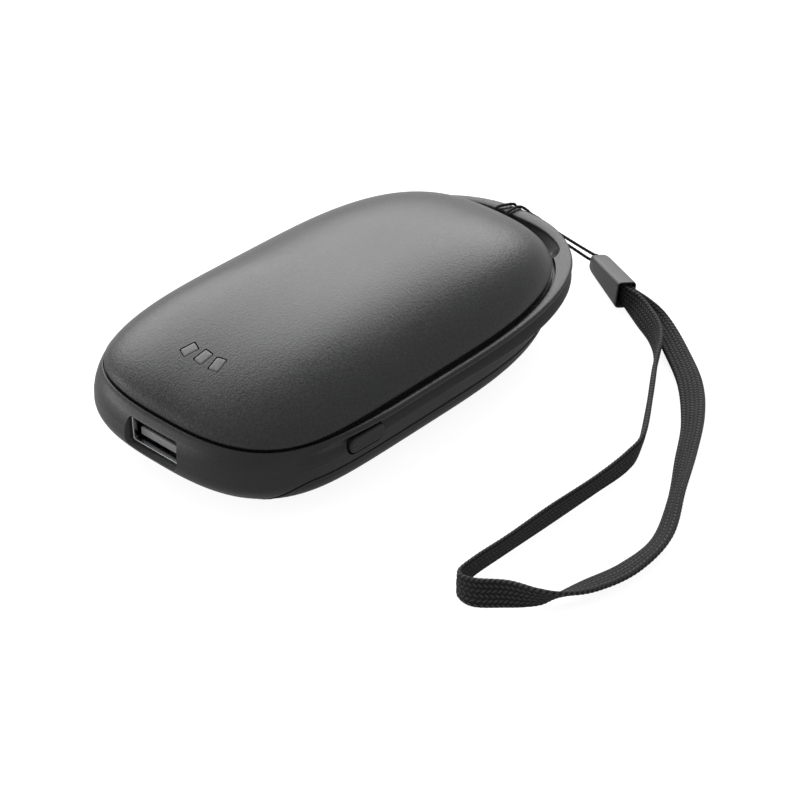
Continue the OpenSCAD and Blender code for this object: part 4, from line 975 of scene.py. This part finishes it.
class HANDWARMER_OT_windows(Operator):
    """Moulds the light guide whose three tips fill the windows"""

    bl_idname = "handwarmer.windows"
    bl_label = "Windows"

    def execute(self, context):
        c = case()
        low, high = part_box("light_guide")
        outline, rise = dome_outline(), c.top_z - c.rim_z - DOME_LIFT
        plain = bmesh.new()
        loft(plain, dome_rows(outline, rise, 60), "flat", "pole")
        dome = BVHTree.FromBMesh(plain)
        plain.free()
        bar_z = low.z + 2.1 * MM
        bm = bmesh.new()
        for place in window_places():
            rows = []
            for grow, sink in ((0, 2.6), (0, 0.14), (-0.04, 0.06), (-0.12, 0.03), (-0.5, 0.02), (-0.9, 0.02)):
                long, wide = WINDOW_LONG + 2 * grow * MM, WINDOW_WIDE + 2 * grow * MM
                ring = []
                for x, y in round_box(long, wide, max(0.06, 0.3 + grow * 0.3) * MM, 4):
                    p = place @ Vector((x, y, 0))
                    hit = dome.ray_cast(Vector((p.x, p.y, 1.0)), Vector((0, 0, -1)))[0]
                    if hit is None:
                        raise RuntimeError("a window lies outside the dome")
                    ring.append(Vector((p.x, p.y, hit.z - sink * MM)))
                rows.append(ring)
            rows.insert(0, [Vector((p.x, p.y, bar_z + 0.7 * MM)) for p in rows[0]])
            loft(bm, rows, "flat", "flat")
            foot = round_box(2 * MM, 2 * MM, 0.2 * MM, 3)
            leg = [[place @ Vector((x, y, z)) for x, y in foot] for z in (low.z, bar_z)]
            loft(bm, leg, "flat", "flat")
        block(bm, (low.x, low.y, bar_z), (high.x, high.y, bar_z + 1.4 * MM), 0.12 * MM)
        mesh = finish_mesh(bm, "window_guide", 40)
        milk = milky_plastic("window_plastic", colours().lens)
        add_piece("window_guide", mesh, milk, "case", ["light_guide"])
        return {"FINISHED"}


# Height of the band of full width above the belly
BELLY_BAND = 0.4 * MM


def frame_low_row(u, inset=0.0):
    """Row of the frame between the parting line and the belly."""
    c = case()
    swell = c.belly_z + BELLY_BAND
    row = []
    for i in range(AROUND):
        x, y = outline_point(grown(belly_outline(), -inset), 2 * math.pi * i / AROUND)
        low = parting_at(x) + c.seam / 2
        z = low + (swell - low) * u
        s = base_share(z)
        row.append(Vector((c.widest_x + (x - c.widest_x) * s, y * s, z)))
    return row


def frame_inside():
    """Outline inside the frame, whose wall is thicker at the socket and thinner at the ring."""
    c = case()
    return (c.belly_usb - c.frame_wall * 1.8, c.belly_ring - c.frame_wall / 3, c.belly_half - c.frame_wall)


def frame_inner_row(u):
    """Row inside the frame."""
    c = case()
    swell = c.belly_z + BELLY_BAND
    inside = frame_inside()
    row = []
    for i in range(AROUND):
        turn = 2 * math.pi * i / AROUND
        low = parting_at(outline_point(belly_outline(), turn)[0]) + 2 * c.seam
        z = low + (swell - low) * u
        o = tuple(min(a, b * base_share(z) - c.frame_wall * 0.8) for a, b in zip(inside, belly_outline()))
        row.append(Vector((*outline_point(o, turn), z)))
    return row


def base_inner_row(u):
    """Row inside the base, from its floor to its rim."""
    c = case()
    row = []
    for i in range(AROUND):
        turn = 2 * math.pi * i / AROUND
        high = parting_at(outline_point(belly_outline(), turn)[0]) - c.seam / 2
        z = c.base_wall + (high - c.base_wall) * u
        o = tuple(b * base_share(z) - c.base_wall for b in belly_outline())
        row.append(Vector((*outline_point(o, turn), z)))
    return row


# The lanyard slot: half its length, and its sides from the dome and from the ledge's edge
SLOT_HALF, SLOT_INSIDE, SLOT_OUTSIDE = 17.3 * MM, 0.6 * MM, 2.2 * MM


def slot_row(grow, lengthen, z, shelf=0.0):
    """Row round the lanyard slot, a crescent with round ends. The shelf keeps it out from under the dome."""
    inner = grown(dome_outline(), shelf - SLOT_INSIDE)
    outer = grown(ledge_outline(), -SLOT_OUTSIDE)
    half = SLOT_HALF + lengthen

    def sides(y):
        """Middle of the crescent and half its width."""
        far, near = ring_end_at(outer, y), ring_end_at(inner, y)
        return (far + near) / 2, (far - near) / 2

    radius = sides(half)[1]
    steps = 30
    far_row, near_row = [], []
    for i in range(-steps, steps + 1):
        y = half * math.sin(math.pi / 2 * i / steps)
        middle, half_width = sides(y)
        over = max(0.0, abs(y) - (half - radius)) / radius
        reach = math.sqrt(max(0.0, 1 - over * over)) * (half_width + grow)
        far_row.append(Vector((middle + reach, y, z)))
        near_row.append(Vector((middle - reach, y, z)))
    return far_row + near_row[-2:0:-1]


def socket_row(x, grow, roof=1.0):
    """Row of a round cornered rectangle round the socket. The roof takes a share of the growth."""
    low, high = SOCKET
    middle = (low + high) / 2
    wide, tall = high.y - low.y, high.z - low.z
    radius = max(0.05 * MM, 0.6 * MM + grow * 0.7)
    drop = grow * (1 - roof) / 2
    return [
        Vector((x, middle.y + y, middle.z + z - drop))
        for y, z in round_box(wide + 2 * grow, tall + grow * (1 + roof), radius)
    ]


LIP_START, LIP_FULL = -0.044, -0.018


def faded(plain, full):
    """A row between two rows: plain at the socket end and full along the sides, where the lip stands out."""
    return [a.lerp(b, eased(b.x, LIP_START, LIP_FULL)) for a, b in zip(plain, full)]


BUTTON_LONG, BUTTON_HIGH, BUTTON_GAP = 9.5 * MM, 3.35 * MM, 0.32 * MM


def button_middle():
    """Middle of the button along the case and its height."""
    low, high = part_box("power_button")
    return (low.x + high.x) / 2 + 0.3 * MM, (low.z + high.z) / 2 + 0.15 * MM


def slot_cut():
    """Rows of the cut for the lanyard slot, from under the ring to over the ledge."""
    top, under = case().ledge_z, case().ring_under_z
    rows = (
        (0.5, -4.1, under - 1.6 * MM, 0.9), (0.3, -4.3, under - 0.15 * MM, 0.9),
        (0.08, -4.4, under + 0.15 * MM, 0.9), (0, -4.2, under + 0.8 * MM, 0.85),
        (0, -3.0, top - 2.4 * MM, 0.7), (0, -1.7, top - 1.4 * MM, 0.45), (0, -0.6, top - 0.75 * MM, 0.2),
        (0.06, -0.1, top - 0.32 * MM, 0), (0.2, 0.12, top - 0.1 * MM, 0),
        (0.42, 0.4, top + 0.02 * MM, 0), (0.8, 0.8, top + 1 * MM, 0),
    )
    return [slot_row(grow * MM, longer * MM, z, shelf * MM) for grow, longer, z, shelf in rows]


def mouth_cut():
    """Rows of the cut round the socket: a soft recess that narrows to the socket's own size."""
    end_x = usb_end_at(belly_outline(), (SOCKET[0].y + SOCKET[1].y) / 2)
    deep, soft, fit = 1.35 * MM, 0.95 * MM, 0.12 * MM
    rows = [socket_row(end_x - 2 * MM, fit + soft * 2.2, roof=0.3)]
    for u in (-0.2, 0.0, 0.12, 0.25, 0.4, 0.6, 0.8, 1.0):
        rows.append(socket_row(end_x + u * deep, fit + soft * (1 - u) ** 1.25, roof=0.3))
    return [*rows, socket_row(end_x + 7 * MM, fit)]


def button_cut():
    """Rows of the cut for the button, with a softened edge."""
    middle_x, middle_z = button_middle()
    face_y = -side_at(belly_outline(), middle_x)
    rows = []
    for y, grow in ((-2.2, 0.55), (-0.1, 0.22), (0.08, 0.1), (0.3, 0.02), (0.6, 0.0), (6.0, 0.0)):
        room = 2 * (BUTTON_GAP + grow * MM)
        rows.append([
            Vector((middle_x + x - 0.1 * MM, face_y + y * MM, middle_z + z + 0.07 * MM))
            for x, z in pill_box(BUTTON_LONG + room, BUTTON_HIGH + room)
        ])
    return rows


def inlet_cut():
    """Rows of the cut for the charging inlet, which opens outwards."""
    low, high = INLET
    middle = (low + high) / 2
    wall_y = side_at(belly_outline(), middle.x)
    rows = []
    for y, grow in ((2.0, 1.0), (0.0, 0.55), (-0.15, 0.3), (-0.35, 0.1), (-0.6, 0.0), (-6.0, 0.0)):
        room = 2 * (0.15 + grow) * MM
        rows.append([
            Vector((middle.x + x, wall_y + y * MM, middle.z + z))
            for x, z in round_box(high.x - low.x + room, high.z - low.z + room, (0.5 + grow) * MM)
        ])
    return rows


class HANDWARMER_OT_frame(Operator):
    """Rolls the middle frame with its lip, ring and moat, and cuts slot, socket, button and inlet openings"""

    bl_idname = "handwarmer.frame"
    bl_label = "Middle frame"

    def execute(self, context):
        c = case()
        belly, ledge, dome = belly_outline(), ledge_outline(), dome_outline()
        e = BELLY_BAND

        def lip_row(short, side, z, plain_usb, plain_side, flank):
            """Row of the lip in millimetres: short of the ring's tip, half width, height, inside the belly at
            the socket and at the sides, and how far the ring's corners stand out."""
            ring, usb = ledge[1] - short * MM, belly[0] - (belly[2] - side * MM) * 0.8
            return swelled(faded(
                outline_row((belly[0] - plain_usb * MM, ring, belly[2] - plain_side * MM), z * MM),
                outline_row((usb, ring, side * MM), z * MM),
            ), flank * MM)

        def edge(out, near_usb, near_side, z):
            """Row of the lip's top edge, which lies close round the dome at the socket end."""
            near = (dome[0] + near_usb * MM, dome[1] + near_side * MM, dome[2] + near_side * MM)
            return swelled(faded(outline_row(near, z), outline_row(grown(ledge, -out * MM), z)))

        sides = [frame_low_row(0.0, 0.14 * MM), frame_low_row(0.03, 0.04 * MM)]
        sides += [frame_low_row(u) for u in (0.08, 0.16, 0.3, 0.6, 0.85)]
        sides += [
            outline_row(belly, c.belly_z + e),
            outline_row(
                (belly[0] - 0.1 * MM, belly[1] + 0.2 * MM, belly[2] - 0.03 * MM), c.ring_under_z - e / 2
            ),
            lip_row(1.2, 29.86, 11.4, 0.14, 0.05, 1.1),
            lip_row(0.4, 29.78, 11.8, 0.22, 0.08, 1.45),
            lip_row(0.12, 29.55, 12.35, 0.36, 0.12, 1.5),
            lip_row(0.3, 29.1, 12.95, 0.58, 0.17, 1.3),
            lip_row(0.45, 28.9, 13.5, 0.82, 0.22, 0.9),
            lip_row(0.42, 29.2, 13.98, 1.06, 0.27, 0.42),
            lip_row(0.2, 29.95, 14.28, 1.25, 0.3, 0.12),
            lip_row(0.05, 30.55, 14.55, 1.44, 0.33, 0),
            lip_row(0, 30.86, 14.95, 1.76, 0.37, 0),
            edge(0.1, 0.86, 0.38, c.ledge_z - e),
            edge(0.32, 0.52, 0.32, c.ledge_z - e * 0.3),
            edge(0.68, 0.3, 0.24, c.ledge_z),
        ]

        def moat_row(near, wide, depth, deep=0.0):
            """Row of the groove round the dome, in millimetres, wider and deeper along the sides."""
            return faded(
                outline_row(grown(dome, near * MM), c.ledge_z - depth * MM),
                outline_row(grown(dome, wide * MM), c.ledge_z - max(depth, deep) * MM),
            )

        moat = [
            moat_row(0.17, 0.8, 0.01), moat_row(0.1, 0.62, 0.06), moat_row(0.06, 0.54, 0.2),
            moat_row(0.05, 0.5, 0.6, 1.4), moat_row(0.03, 0.03, 0.61, 1.42),
            moat_row(0.0, -0.02, 0.615, 0.66), moat_row(-0.8, -0.8, 0.62), moat_row(-0.84, -0.84, 0),
            outline_row(frame_inside(), c.ledge_z),
        ]
        inner = [frame_inner_row(u) for u in (0.85, 0.6, 0.3, 0.0)]
        foot = [Vector((p.x, p.y, p.z + c.seam)) for p in base_inner_row(1)]
        bm = bmesh.new()
        loft(bm, [*smoothed(sides, 3), *moat, *inner, foot], end="join")
        mesh = finish_mesh(bm, "case_frame", 34)

        cutter = bmesh.new()
        for rows in (slot_cut(), mouth_cut(), button_cut(), inlet_cut()):
            loft(cutter, rows, "flat", "flat")
        mesh = carve(mesh, finish_mesh(cutter, "frame_cutter"), 34)
        plastic = moulded_plastic(
            "frame_plastic", colours().frame, 0.4, 0.34 * MM, 0.032 * MM, vary=0.35, gloss=0.46
        )
        add_piece("case_frame", mesh, plastic, "case", ["mid_frame"])
        return {"FINISHED"}


# Radii round a case screw in millimetres: the hole, its soft edge, the well round it, the post and its bore
HOLE, HOLE_SOFT, WELL, POST, BORE = 2.05, 2.25, 2.75, 2.2, 1.15
SCREW_HEAD, SCREW_RADIUS, POST_TOP = 1.5 * MM, 1.9 * MM, 11.2 * MM


class HANDWARMER_OT_base(Operator):
    """Shapes the base, with a softened parting edge and sunk screw holes"""

    bl_idname = "handwarmer.base"
    bl_label = "Base"

    def execute(self, context):
        c = case()
        belly = belly_outline()

        def outer_row(u, lift=0.0, proud=0.0):
            """Row at a share of the height up to the parting line, moved down and out, in millimetres."""
            row = []
            for i in range(AROUND):
                x, y = outline_point(belly, 2 * math.pi * i / AROUND)
                z = (parting_at(x) - c.seam / 2) * u - lift * MM
                s = base_share(max(0.0, z))
                p = Vector(((x - c.widest_x) * s, y * s))
                p *= 1 + proud * MM / p.length
                row.append(Vector((c.widest_x + p.x, p.y, z)))
            return row

        steps = 22
        shares = [k / steps for k in range(1, steps)]
        rounds = [outer_row(u * u * (1.4 - 0.4 * u)) for u in shares]
        foot = [outer_row(0, 0, -0.5), outer_row(0, -0.03, -0.16)]
        bead = ((0.62, 0.03), (0.42, 0.12), (0.26, 0.15), (0.12, 0.11), (0.03, 0.02), (0, -0.14))
        rim = [outer_row(1, lift, proud) for lift, proud in bead]
        inside = [base_inner_row(u) for u in (1, 0.8, 0.6, 0.4, 0.25, 0.12, 0.04, 0)]
        bm = bmesh.new()
        loft(bm, [*foot, *rounds, *rim, *inside], "flat", "flat")
        mesh = finish_mesh(bm, "base_shell", 34)
        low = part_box("case_screws")[0]
        if low.z < 0:
            raise RuntimeError("the case screws reach below the base")
        seat = low.z + SCREW_HEAD

        def under(p, radius, above, count):
            """A ring that follows the underside of the base, raised by a height."""
            row = round_row(p, radius * MM, 0, count)
            return [Vector((q.x, q.y, base_height(q.x, q.y) + above * MM)) for q in row]

        cutter = bmesh.new()
        for p in screw_places():
            loft(cutter, [
                round_row(p, HOLE_SOFT * MM, -2 * MM, 40),
                under(p, HOLE_SOFT, -0.05, 40), under(p, HOLE_SOFT - 0.09, 0.03, 40),
                under(p, HOLE, 0.16, 40),
                round_row(p, HOLE * MM, seat + 0.02 * MM, 40),
            ], "flat", "flat")
        mesh = carve(mesh, finish_mesh(cutter, "screw_cutter"), 34)
        bm = bmesh.new()
        bm.from_mesh(mesh)
        shelf = seat + 0.7 * MM
        post = ((shelf, WELL), (shelf, POST), (POST_TOP, POST), (POST_TOP, BORE), (seat, BORE), (seat, HOLE))
        for p in screw_places():
            loft(bm, [
                under(p, WELL, 0.7, 32), *(round_row(p, r * MM, z, 32) for z, r in post),
                under(p, HOLE, 0.7, 32),
            ], end="join")
        mesh_out = finish_mesh(bm, "base_shell", 34)
        bpy.data.meshes.remove(mesh)
        plastic = moulded_plastic(
            "base_plastic", colours().base, 0.46, 0.34 * MM, 0.018 * MM, vary=0.2, gloss=0.22
        )
        add_piece("base_shell", mesh_out, plastic, "case", ["bottom_shell"])
        return {"FINISHED"}


def screw_places():
    """Middle of each case screw, read from the solids."""
    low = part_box("case_screws")[0]
    points = [v.co for v in frame["nodes"]["case_screws"].data.vertices]
    places = []
    for sx in (-1, 1):
        for sy in (-1, 1):
            group = [p for p in points if p.x * sx > 0 and p.y * sy > 0]
            xs, ys = [p.x for p in group], [p.y for p in group]
            places.append(Vector(((min(xs) + max(xs)) / 2, (min(ys) + max(ys)) / 2, low.z + SCREW_RADIUS)))
    return places


# Button, socket and inlet


class HANDWARMER_OT_button(Operator):
    """Shapes the power button with its flange and prints a generic power mark on it"""

    bl_idname = "handwarmer.button"
    bl_label = "Power button"

    def execute(self, context):
        belly = belly_outline()
        middle_x, middle_z = button_middle()
        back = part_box("power_button")[1].y

        def face(x):
            """Place of the button's face, which follows the curve of the belly."""
            return -side_at(belly, middle_x + x) - 0.3 * MM

        def row(shrink, sink):
            """Row of the button's front, smaller and further in, in millimetres."""
            return [
                Vector((middle_x + x, face(x) + sink * MM, middle_z + z))
                for x, z in pill_box(BUTTON_LONG - 2 * shrink * MM, BUTTON_HIGH - 2 * shrink * MM)
            ]

        def flat(long, tall, y):
            """Row of the button's back."""
            return [Vector((middle_x + x, y, middle_z + z)) for x, z in pill_box(long, tall)]

        flange, front = 0.9 * MM, back - 0.8 * MM
        rows = [
            flat(BUTTON_LONG + 2 * flange, BUTTON_HIGH + 2 * flange, back),
            flat(BUTTON_LONG + 2 * flange, BUTTON_HIGH + 2 * flange, front),
            flat(BUTTON_LONG, BUTTON_HIGH, front),
            row(0, 1.2), row(0, 0.32), row(0.03, 0.16), row(0.1, 0.06), row(0.24, 0.01), row(0.5, 0.0),
            row(0.8, 0.01), row(1.2, 0.02), row(1.6, 0.02),
        ]
        bm = bmesh.new()
        loft(bm, rows, "flat", "flat")
        mesh = finish_mesh(bm, "power_key", 36)
        plastic = moulded_plastic(
            "button_plastic", colours().button, 0.4, 0.3 * MM, 0.012 * MM, vary=0.15, gloss=0.36
        )
        add_piece("power_key", mesh, plastic, "button", ["power_button"])

        mark = bmesh.new()
        mark_x, radius, line, proud = -3.35 * MM, 0.62 * MM, 0.14 * MM, 0.012 * MM
        y = face(mark_x) - proud
        start = math.radians(125)
        verts = [
            mark.verts.new((middle_x + mark_x + r * math.cos(start), y, middle_z + r * math.sin(start)))
            for r in (radius - line / 2, radius + line / 2)
        ]
        edge = mark.edges.new(verts)
        bmesh.ops.spin(
            mark, geom=[*verts, edge], cent=(middle_x + mark_x, y, middle_z), axis=(0, -1, 0),
            angle=-math.radians(290), steps=28, use_merge=False, use_duplicate=False,
        )
        made = bmesh.ops.create_grid(mark, x_segments=1, y_segments=1, size=0.5)["verts"]
        bar = Matrix.Translation((middle_x + mark_x, y, middle_z + radius * 0.75))
        bar = bar @ Matrix.Rotation(math.pi / 2, 4, "X") @ Matrix.Diagonal((line, radius * 0.95, 1, 1))
        bmesh.ops.transform(mark, matrix=bar, verts=made)
        for v in mark.verts:
            v.co.y = face(v.co.x - middle_x) - proud
        bmesh.ops.solidify(mark, geom=mark.faces[:], thickness=0.03 * MM)
        mesh = finish_mesh(mark, "power_mark", 30)
        ink = moulded_plastic("mark_ink", colours().mark, 0.5, 0.1 * MM, 0.003 * MM, vary=0.1)
        add_piece("power_mark", mesh, ink, "button")
        return {"FINISHED"}


class HANDWARMER_OT_socket(Operator):
    """Folds the socket's plated shell with its spring fingers, and fits tongue and contacts"""

    bl_idname = "handwarmer.socket"
    bl_label = "USB socket"

    def execute(self, context):
        low, high = SOCKET
        sheet = 0.3 * MM
        bm = bmesh.new()
        rows = [
            socket_row(high.x, 0), socket_row(low.x + 0.5 * MM, 0), socket_row(low.x + 0.12 * MM, 0),
            socket_row(low.x + 0.03 * MM, -0.03 * MM), socket_row(low.x, -0.1 * MM),
            socket_row(low.x + 0.02 * MM, -0.2 * MM), socket_row(low.x + 0.1 * MM, -0.27 * MM),
            socket_row(low.x + 0.3 * MM, -sheet), socket_row(high.x, -sheet),
        ]
        loft(bm, rows, end="join")
        middle = (low + high) / 2
        bow = (
            (1.6, 0), (2.6, 0.03), (3.6, 0.12), (4.3, 0.22), (4.9, 0.23), (5.6, 0.12), (6.4, 0.02), (7.4, 0),
        )
        section = ((-1.1, 0), (1.1, 0), (1.1, 0.22), (-1.1, 0.22))
        for side in (1, -1):
            wall = middle.z + side * ((high.z - low.z) / 2 - sheet - 0.01 * MM)
            for y in (-3.1 * MM, 3.1 * MM):
                strip = [
                    [
                        Vector((low.x + x * MM, middle.y + y + dy * MM, wall - side * (drop + dz) * MM))
                        for dy, dz in section
                    ]
                    for x, drop in bow
                ]
                loft(bm, strip, "flat", "flat")
        mesh = finish_mesh(bm, "socket_shell", 34)
        steel = plated_metal("socket_steel", colours().steel, 0.24)
        # Painted shade: the socket's steel fades to near black from just inside its rim, where the shell
        # shades itself.
        shadowed(steel, low.x + 0.12 * MM, low.x + 1.3 * MM)
        add_piece("socket_shell", mesh, steel, "case", ["usb_shell"])

        low_t, high_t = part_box("usb_tongue")
        under, over, half = low_t.z + 0.65 * MM, low_t.z + 2.45 * MM, 5.55 * MM
        bm = bmesh.new()
        block(
            bm, (low_t.x, middle.y - half, under), (high_t.x - 1 * MM, middle.y + half, over), 0.22 * MM, 3
        )
        block(bm, (high_t.x - 2.2 * MM, low_t.y, low_t.z), high_t, 0.1 * MM)
        mesh = finish_mesh(bm, "socket_tongue", 34)
        plastic = moulded_plastic("tongue_plastic", colours().tongue, 0.45, 0.2 * MM, 0.008 * MM)
        # Painted shade: the tongue fades to near black just behind its front face, under the shell's roof.
        shadowed(plastic, low_t.x + 0.24 * MM, low_t.x + 0.7 * MM)
        add_piece("socket_tongue", mesh, plastic, "case", ["usb_tongue"])

        low_c, high_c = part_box("usb_contacts")
        bm = bmesh.new()
        for y in (-3.5, -1.0, 1.0, 3.5):
            block(
                bm, (low_c.x, middle.y + (y - 0.5) * MM, low_c.z - 0.05 * MM),
                (high_c.x, middle.y + (y + 0.5) * MM, high_c.z), 0.07 * MM,
            )
        mesh = finish_mesh(bm, "socket_contacts", 34)
        gold = plated_metal("contact_gold", (0.72, 0.5, 0.18), 0.22, (0.1, 1, 1), 0.002 * MM)
        add_piece("socket_contacts", mesh, gold, "case", ["usb_contacts"])
        return {"FINISHED"}


class HANDWARMER_OT_inlet(Operator):
    """Folds the charging inlet's plated shell, narrower below, and fits its tongue"""

    bl_idname = "handwarmer.inlet"
    bl_label = "Charging inlet"

    def execute(self, context):
        low, high = INLET
        middle = (low + high) / 2
        wide, tall = high.x - low.x, high.z - low.z

        def row(y, grow):
            """Row of the inlet's shell, narrower below."""
            out = []
            for x, z in round_box(wide + 2 * grow * MM, tall + 2 * grow * MM, (0.55 + grow) * MM, 5):
                slope = 1.0 - 0.16 * max(0.0, 0.5 - z / tall)
                out.append(Vector((middle.x + x * slope, y, middle.z + z)))
            return out

        back, mouth = low.y, high.y
        bm = bmesh.new()
        rows = [
            row(back, 0), row(mouth - 0.1 * MM, 0), row(mouth - 0.02 * MM, -0.04), row(mouth, -0.12),
            row(mouth - 0.03 * MM, -0.2), row(mouth - 0.15 * MM, -0.25), row(back + 0.3 * MM, -0.25),
        ]
        loft(bm, rows, "flat", "flat")
        mesh = finish_mesh(bm, "inlet_sheet", 34)
        steel = plated_metal("inlet_steel", colours().steel, 0.26, (1.0, 0.04, 1.0))
        add_piece("inlet_sheet", mesh, steel, "case", ["inlet_shell"])

        low_t, high_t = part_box("inlet_tongue")
        bm = bmesh.new()
        block(bm, low_t, high_t, 0.08 * MM)
        mesh = finish_mesh(bm, "inlet_blade", 34)
        plastic = moulded_plastic("inlet_plastic", (0.01, 0.01, 0.01), 0.45, 0.2 * MM, 0.006 * MM)
        add_piece("inlet_blade", mesh, plastic, "case", ["inlet_tongue"])
        return {"FINISHED"}


class HANDWARMER_OT_inside(Operator):
    """Finishes the pieces inside the case and the screws"""

    bl_idname = "handwarmer.inside"
    bl_label = "Inside"

    def execute(self, context):
        black = moulded_plastic("chip_plastic", (0.012, 0.012, 0.012), 0.5, 0.15 * MM, 0.006 * MM)
        white = moulded_plastic("natural_plastic", (0.62, 0.62, 0.58), 0.4, 0.3 * MM, 0.008 * MM, vary=0.05)
        wrap = moulded_plastic("cell_wrap", (0.028, 0.16, 0.46), 0.3, 0.8 * MM, 0.01 * MM, vary=0.08)
        nickel = plated_metal("nickel_sheet", (0.55, 0.55, 0.53), 0.35)
        zinc = plated_metal("screw_zinc", (0.42, 0.43, 0.45), 0.32, (1, 1, 1))
        film = moulded_plastic("heater_film", (0.5, 0.2, 0.03), 0.25, 1.2 * MM, 0.01 * MM, vary=0.2)
        foam = rubbery("foam", (0.1, 0.1, 0.11), 0.9, 0.5 * MM, 0.1 * MM)
        chip = moulded_plastic("light_chip", (0.75, 0.72, 0.6), 0.3, 0.2 * MM, 0.004 * MM, vary=0.05)
        ferrite = moulded_plastic("ferrite", (0.04, 0.04, 0.042), 0.6, 0.12 * MM, 0.02 * MM, vary=0.3)
        finishes = {
            "seal_top": rubbery("seal_rubber", (0.006, 0.006, 0.006), 0.8),
            "switch_body": black,
            "switch_plunger": white,
            "main_board": solder_mask("board_mask", (0.012, 0.09, 0.035)),
            "indicator_leds": chip,
            "control_chip": black,
            "power_chip": black,
            "boost_inductor": ferrite,
            "capacitors": moulded_plastic("capacitor_ceramic", (0.32, 0.2, 0.09), 0.35, 0.2 * MM, 0.004 * MM),
            "battery_cell_left": wrap,
            "battery_cell_right": wrap,
            "cell_carrier": white,
            "nickel_strip_front": nickel,
            "nickel_strip_rear": nickel,
            "cell_lead_red": rubbery("red_insulation", (0.45, 0.02, 0.012), 0.45),
            "cell_lead_black": rubbery("black_insulation", (0.011, 0.011, 0.011), 0.45),
            "heater_film": film,
            "foam_pad": foam,
            "temperature_sensor": black,
            "heater_leads": rubbery("white_insulation", (0.78, 0.75, 0.68), 0.45),
            "case_screws": zinc,
            "board_screws": zinc,
        }
        for name, material in finishes.items():
            dress(name, material)
        return {"FINISHED"}


# Studio


class HANDWARMER_OT_stage(Operator):
    """Lays the pale floor and hangs the softboxes"""

    bl_idname = "handwarmer.stage"
    bl_label = "Studio"

    def execute(self, context):
        stage = settings().stage
        bm = bmesh.new()
        bmesh.ops.create_grid(bm, x_segments=2, y_segments=2, size=3.0)
        bmesh.ops.translate(bm, vec=(0, 0, -0.04 * MM), verts=bm.verts)
        floor = add_object("floor", finish_mesh(bm, "floor"))
        material, tree, _ = fresh_material("floor_paper")
        seen = node(tree, "ShaderNodeLightPath").outputs
        direct = maths(tree, "MAXIMUM", seen["Is Camera Ray"], seen["Is Transmission Ray"])
        mirrored = maths(tree, "MULTIPLY", seen["Is Glossy Ray"], stage.floor_gloss)
        feed(shader_of(material), {
            "Base Color": (*stage.floor, 1.0),
            "Roughness": 0.9,
            "Specular IOR Level": 0.0,
            "Emission Color": (1, 1, 1, 1),
            "Emission Strength": maths(
                tree, "MULTIPLY", maths(tree, "MAXIMUM", direct, mirrored), stage.floor_glow
            ),
        })
        floor.data.materials.append(material)

        world = bpy.data.worlds.new("studio")
        world.use_nodes = True
        context.scene.world = world
        background = next(n for n in world.node_tree.nodes if n.type == "BACKGROUND")
        feed(background, {"Color": (1, 1, 1, 1), "Strength": stage.sky})

        aim = Vector((0.0, 0.0, 0.02))
        for name, power, wide, tall, place in (
            ("back_softbox", stage.back_light, 2.2, 0.95, (0.72, 0.86, 0.8)),
            ("left_softbox", stage.side_light, 1.3, 0.5, (-1.05, 1.3, 0.32)),
        ):
            data = bpy.data.lights.new(name, "AREA")
            data.energy, data.shape, data.size, data.size_y = power, "RECTANGLE", wide, tall
            lamp = bpy.data.objects.new(name, data)
            lamp.location = place
            lamp.rotation_euler = (aim - lamp.location).to_track_quat("-Z", "Y").to_euler()
            context.scene.collection.objects.link(lamp)
        context.scene.view_settings.view_transform = "Standard"
        return {"FINISHED"}


OPERATORS = (
    HANDWARMER_OT_camera,
    HANDWARMER_OT_cord,
    HANDWARMER_OT_strap,
    HANDWARMER_OT_sleeve,
    HANDWARMER_OT_cover,
    HANDWARMER_OT_windows,
    HANDWARMER_OT_frame,
    HANDWARMER_OT_base,
    HANDWARMER_OT_button,
    HANDWARMER_OT_socket,
    HANDWARMER_OT_inlet,
    HANDWARMER_OT_inside,
    HANDWARMER_OT_stage,
)


class HANDWARMER_PT_panel(Panel):
    """Sizes, finishes and steps of the hand warmer"""

    bl_idname = "HANDWARMER_PT_panel"
    bl_label = "Hand Warmer"
    bl_space_type = "VIEW_3D"
    bl_region_type = "UI"
    bl_category = "Hand Warmer"

    def draw(self, context):
        chosen = context.scene.hand_warmer
        for group in (chosen.case, chosen.strap, chosen.finish, chosen.stage):
            box = self.layout.box()
            for name in group.bl_rna.properties.keys():
                if name not in ("rna_type", "name"):
                    box.prop(group, name)
        column = self.layout.column(align=True)
        for step in OPERATORS:
            column.operator(step.bl_idname)


GROUPS = (CaseSizes, StrapSizes, Finishes, StageSettings, HandWarmerSettings)
CLASSES = (*GROUPS, *OPERATORS, HANDWARMER_PT_panel)


def register():
    """Registers the classes and the settings."""
    for item in CLASSES:
        bpy.utils.register_class(item)
    bpy.types.Scene.hand_warmer = PointerProperty(type=HandWarmerSettings)


def unregister():
    """Takes the classes and the settings away again."""
    del bpy.types.Scene.hand_warmer
    for item in reversed(CLASSES):
        bpy.utils.unregister_class(item)


def main():
    """Builds everything in order."""
    register()
    for step in OPERATORS:
        group, name = step.bl_idname.split(".")
        getattr(getattr(bpy.ops, group), name)()


if __name__ == "__main__":
    main()
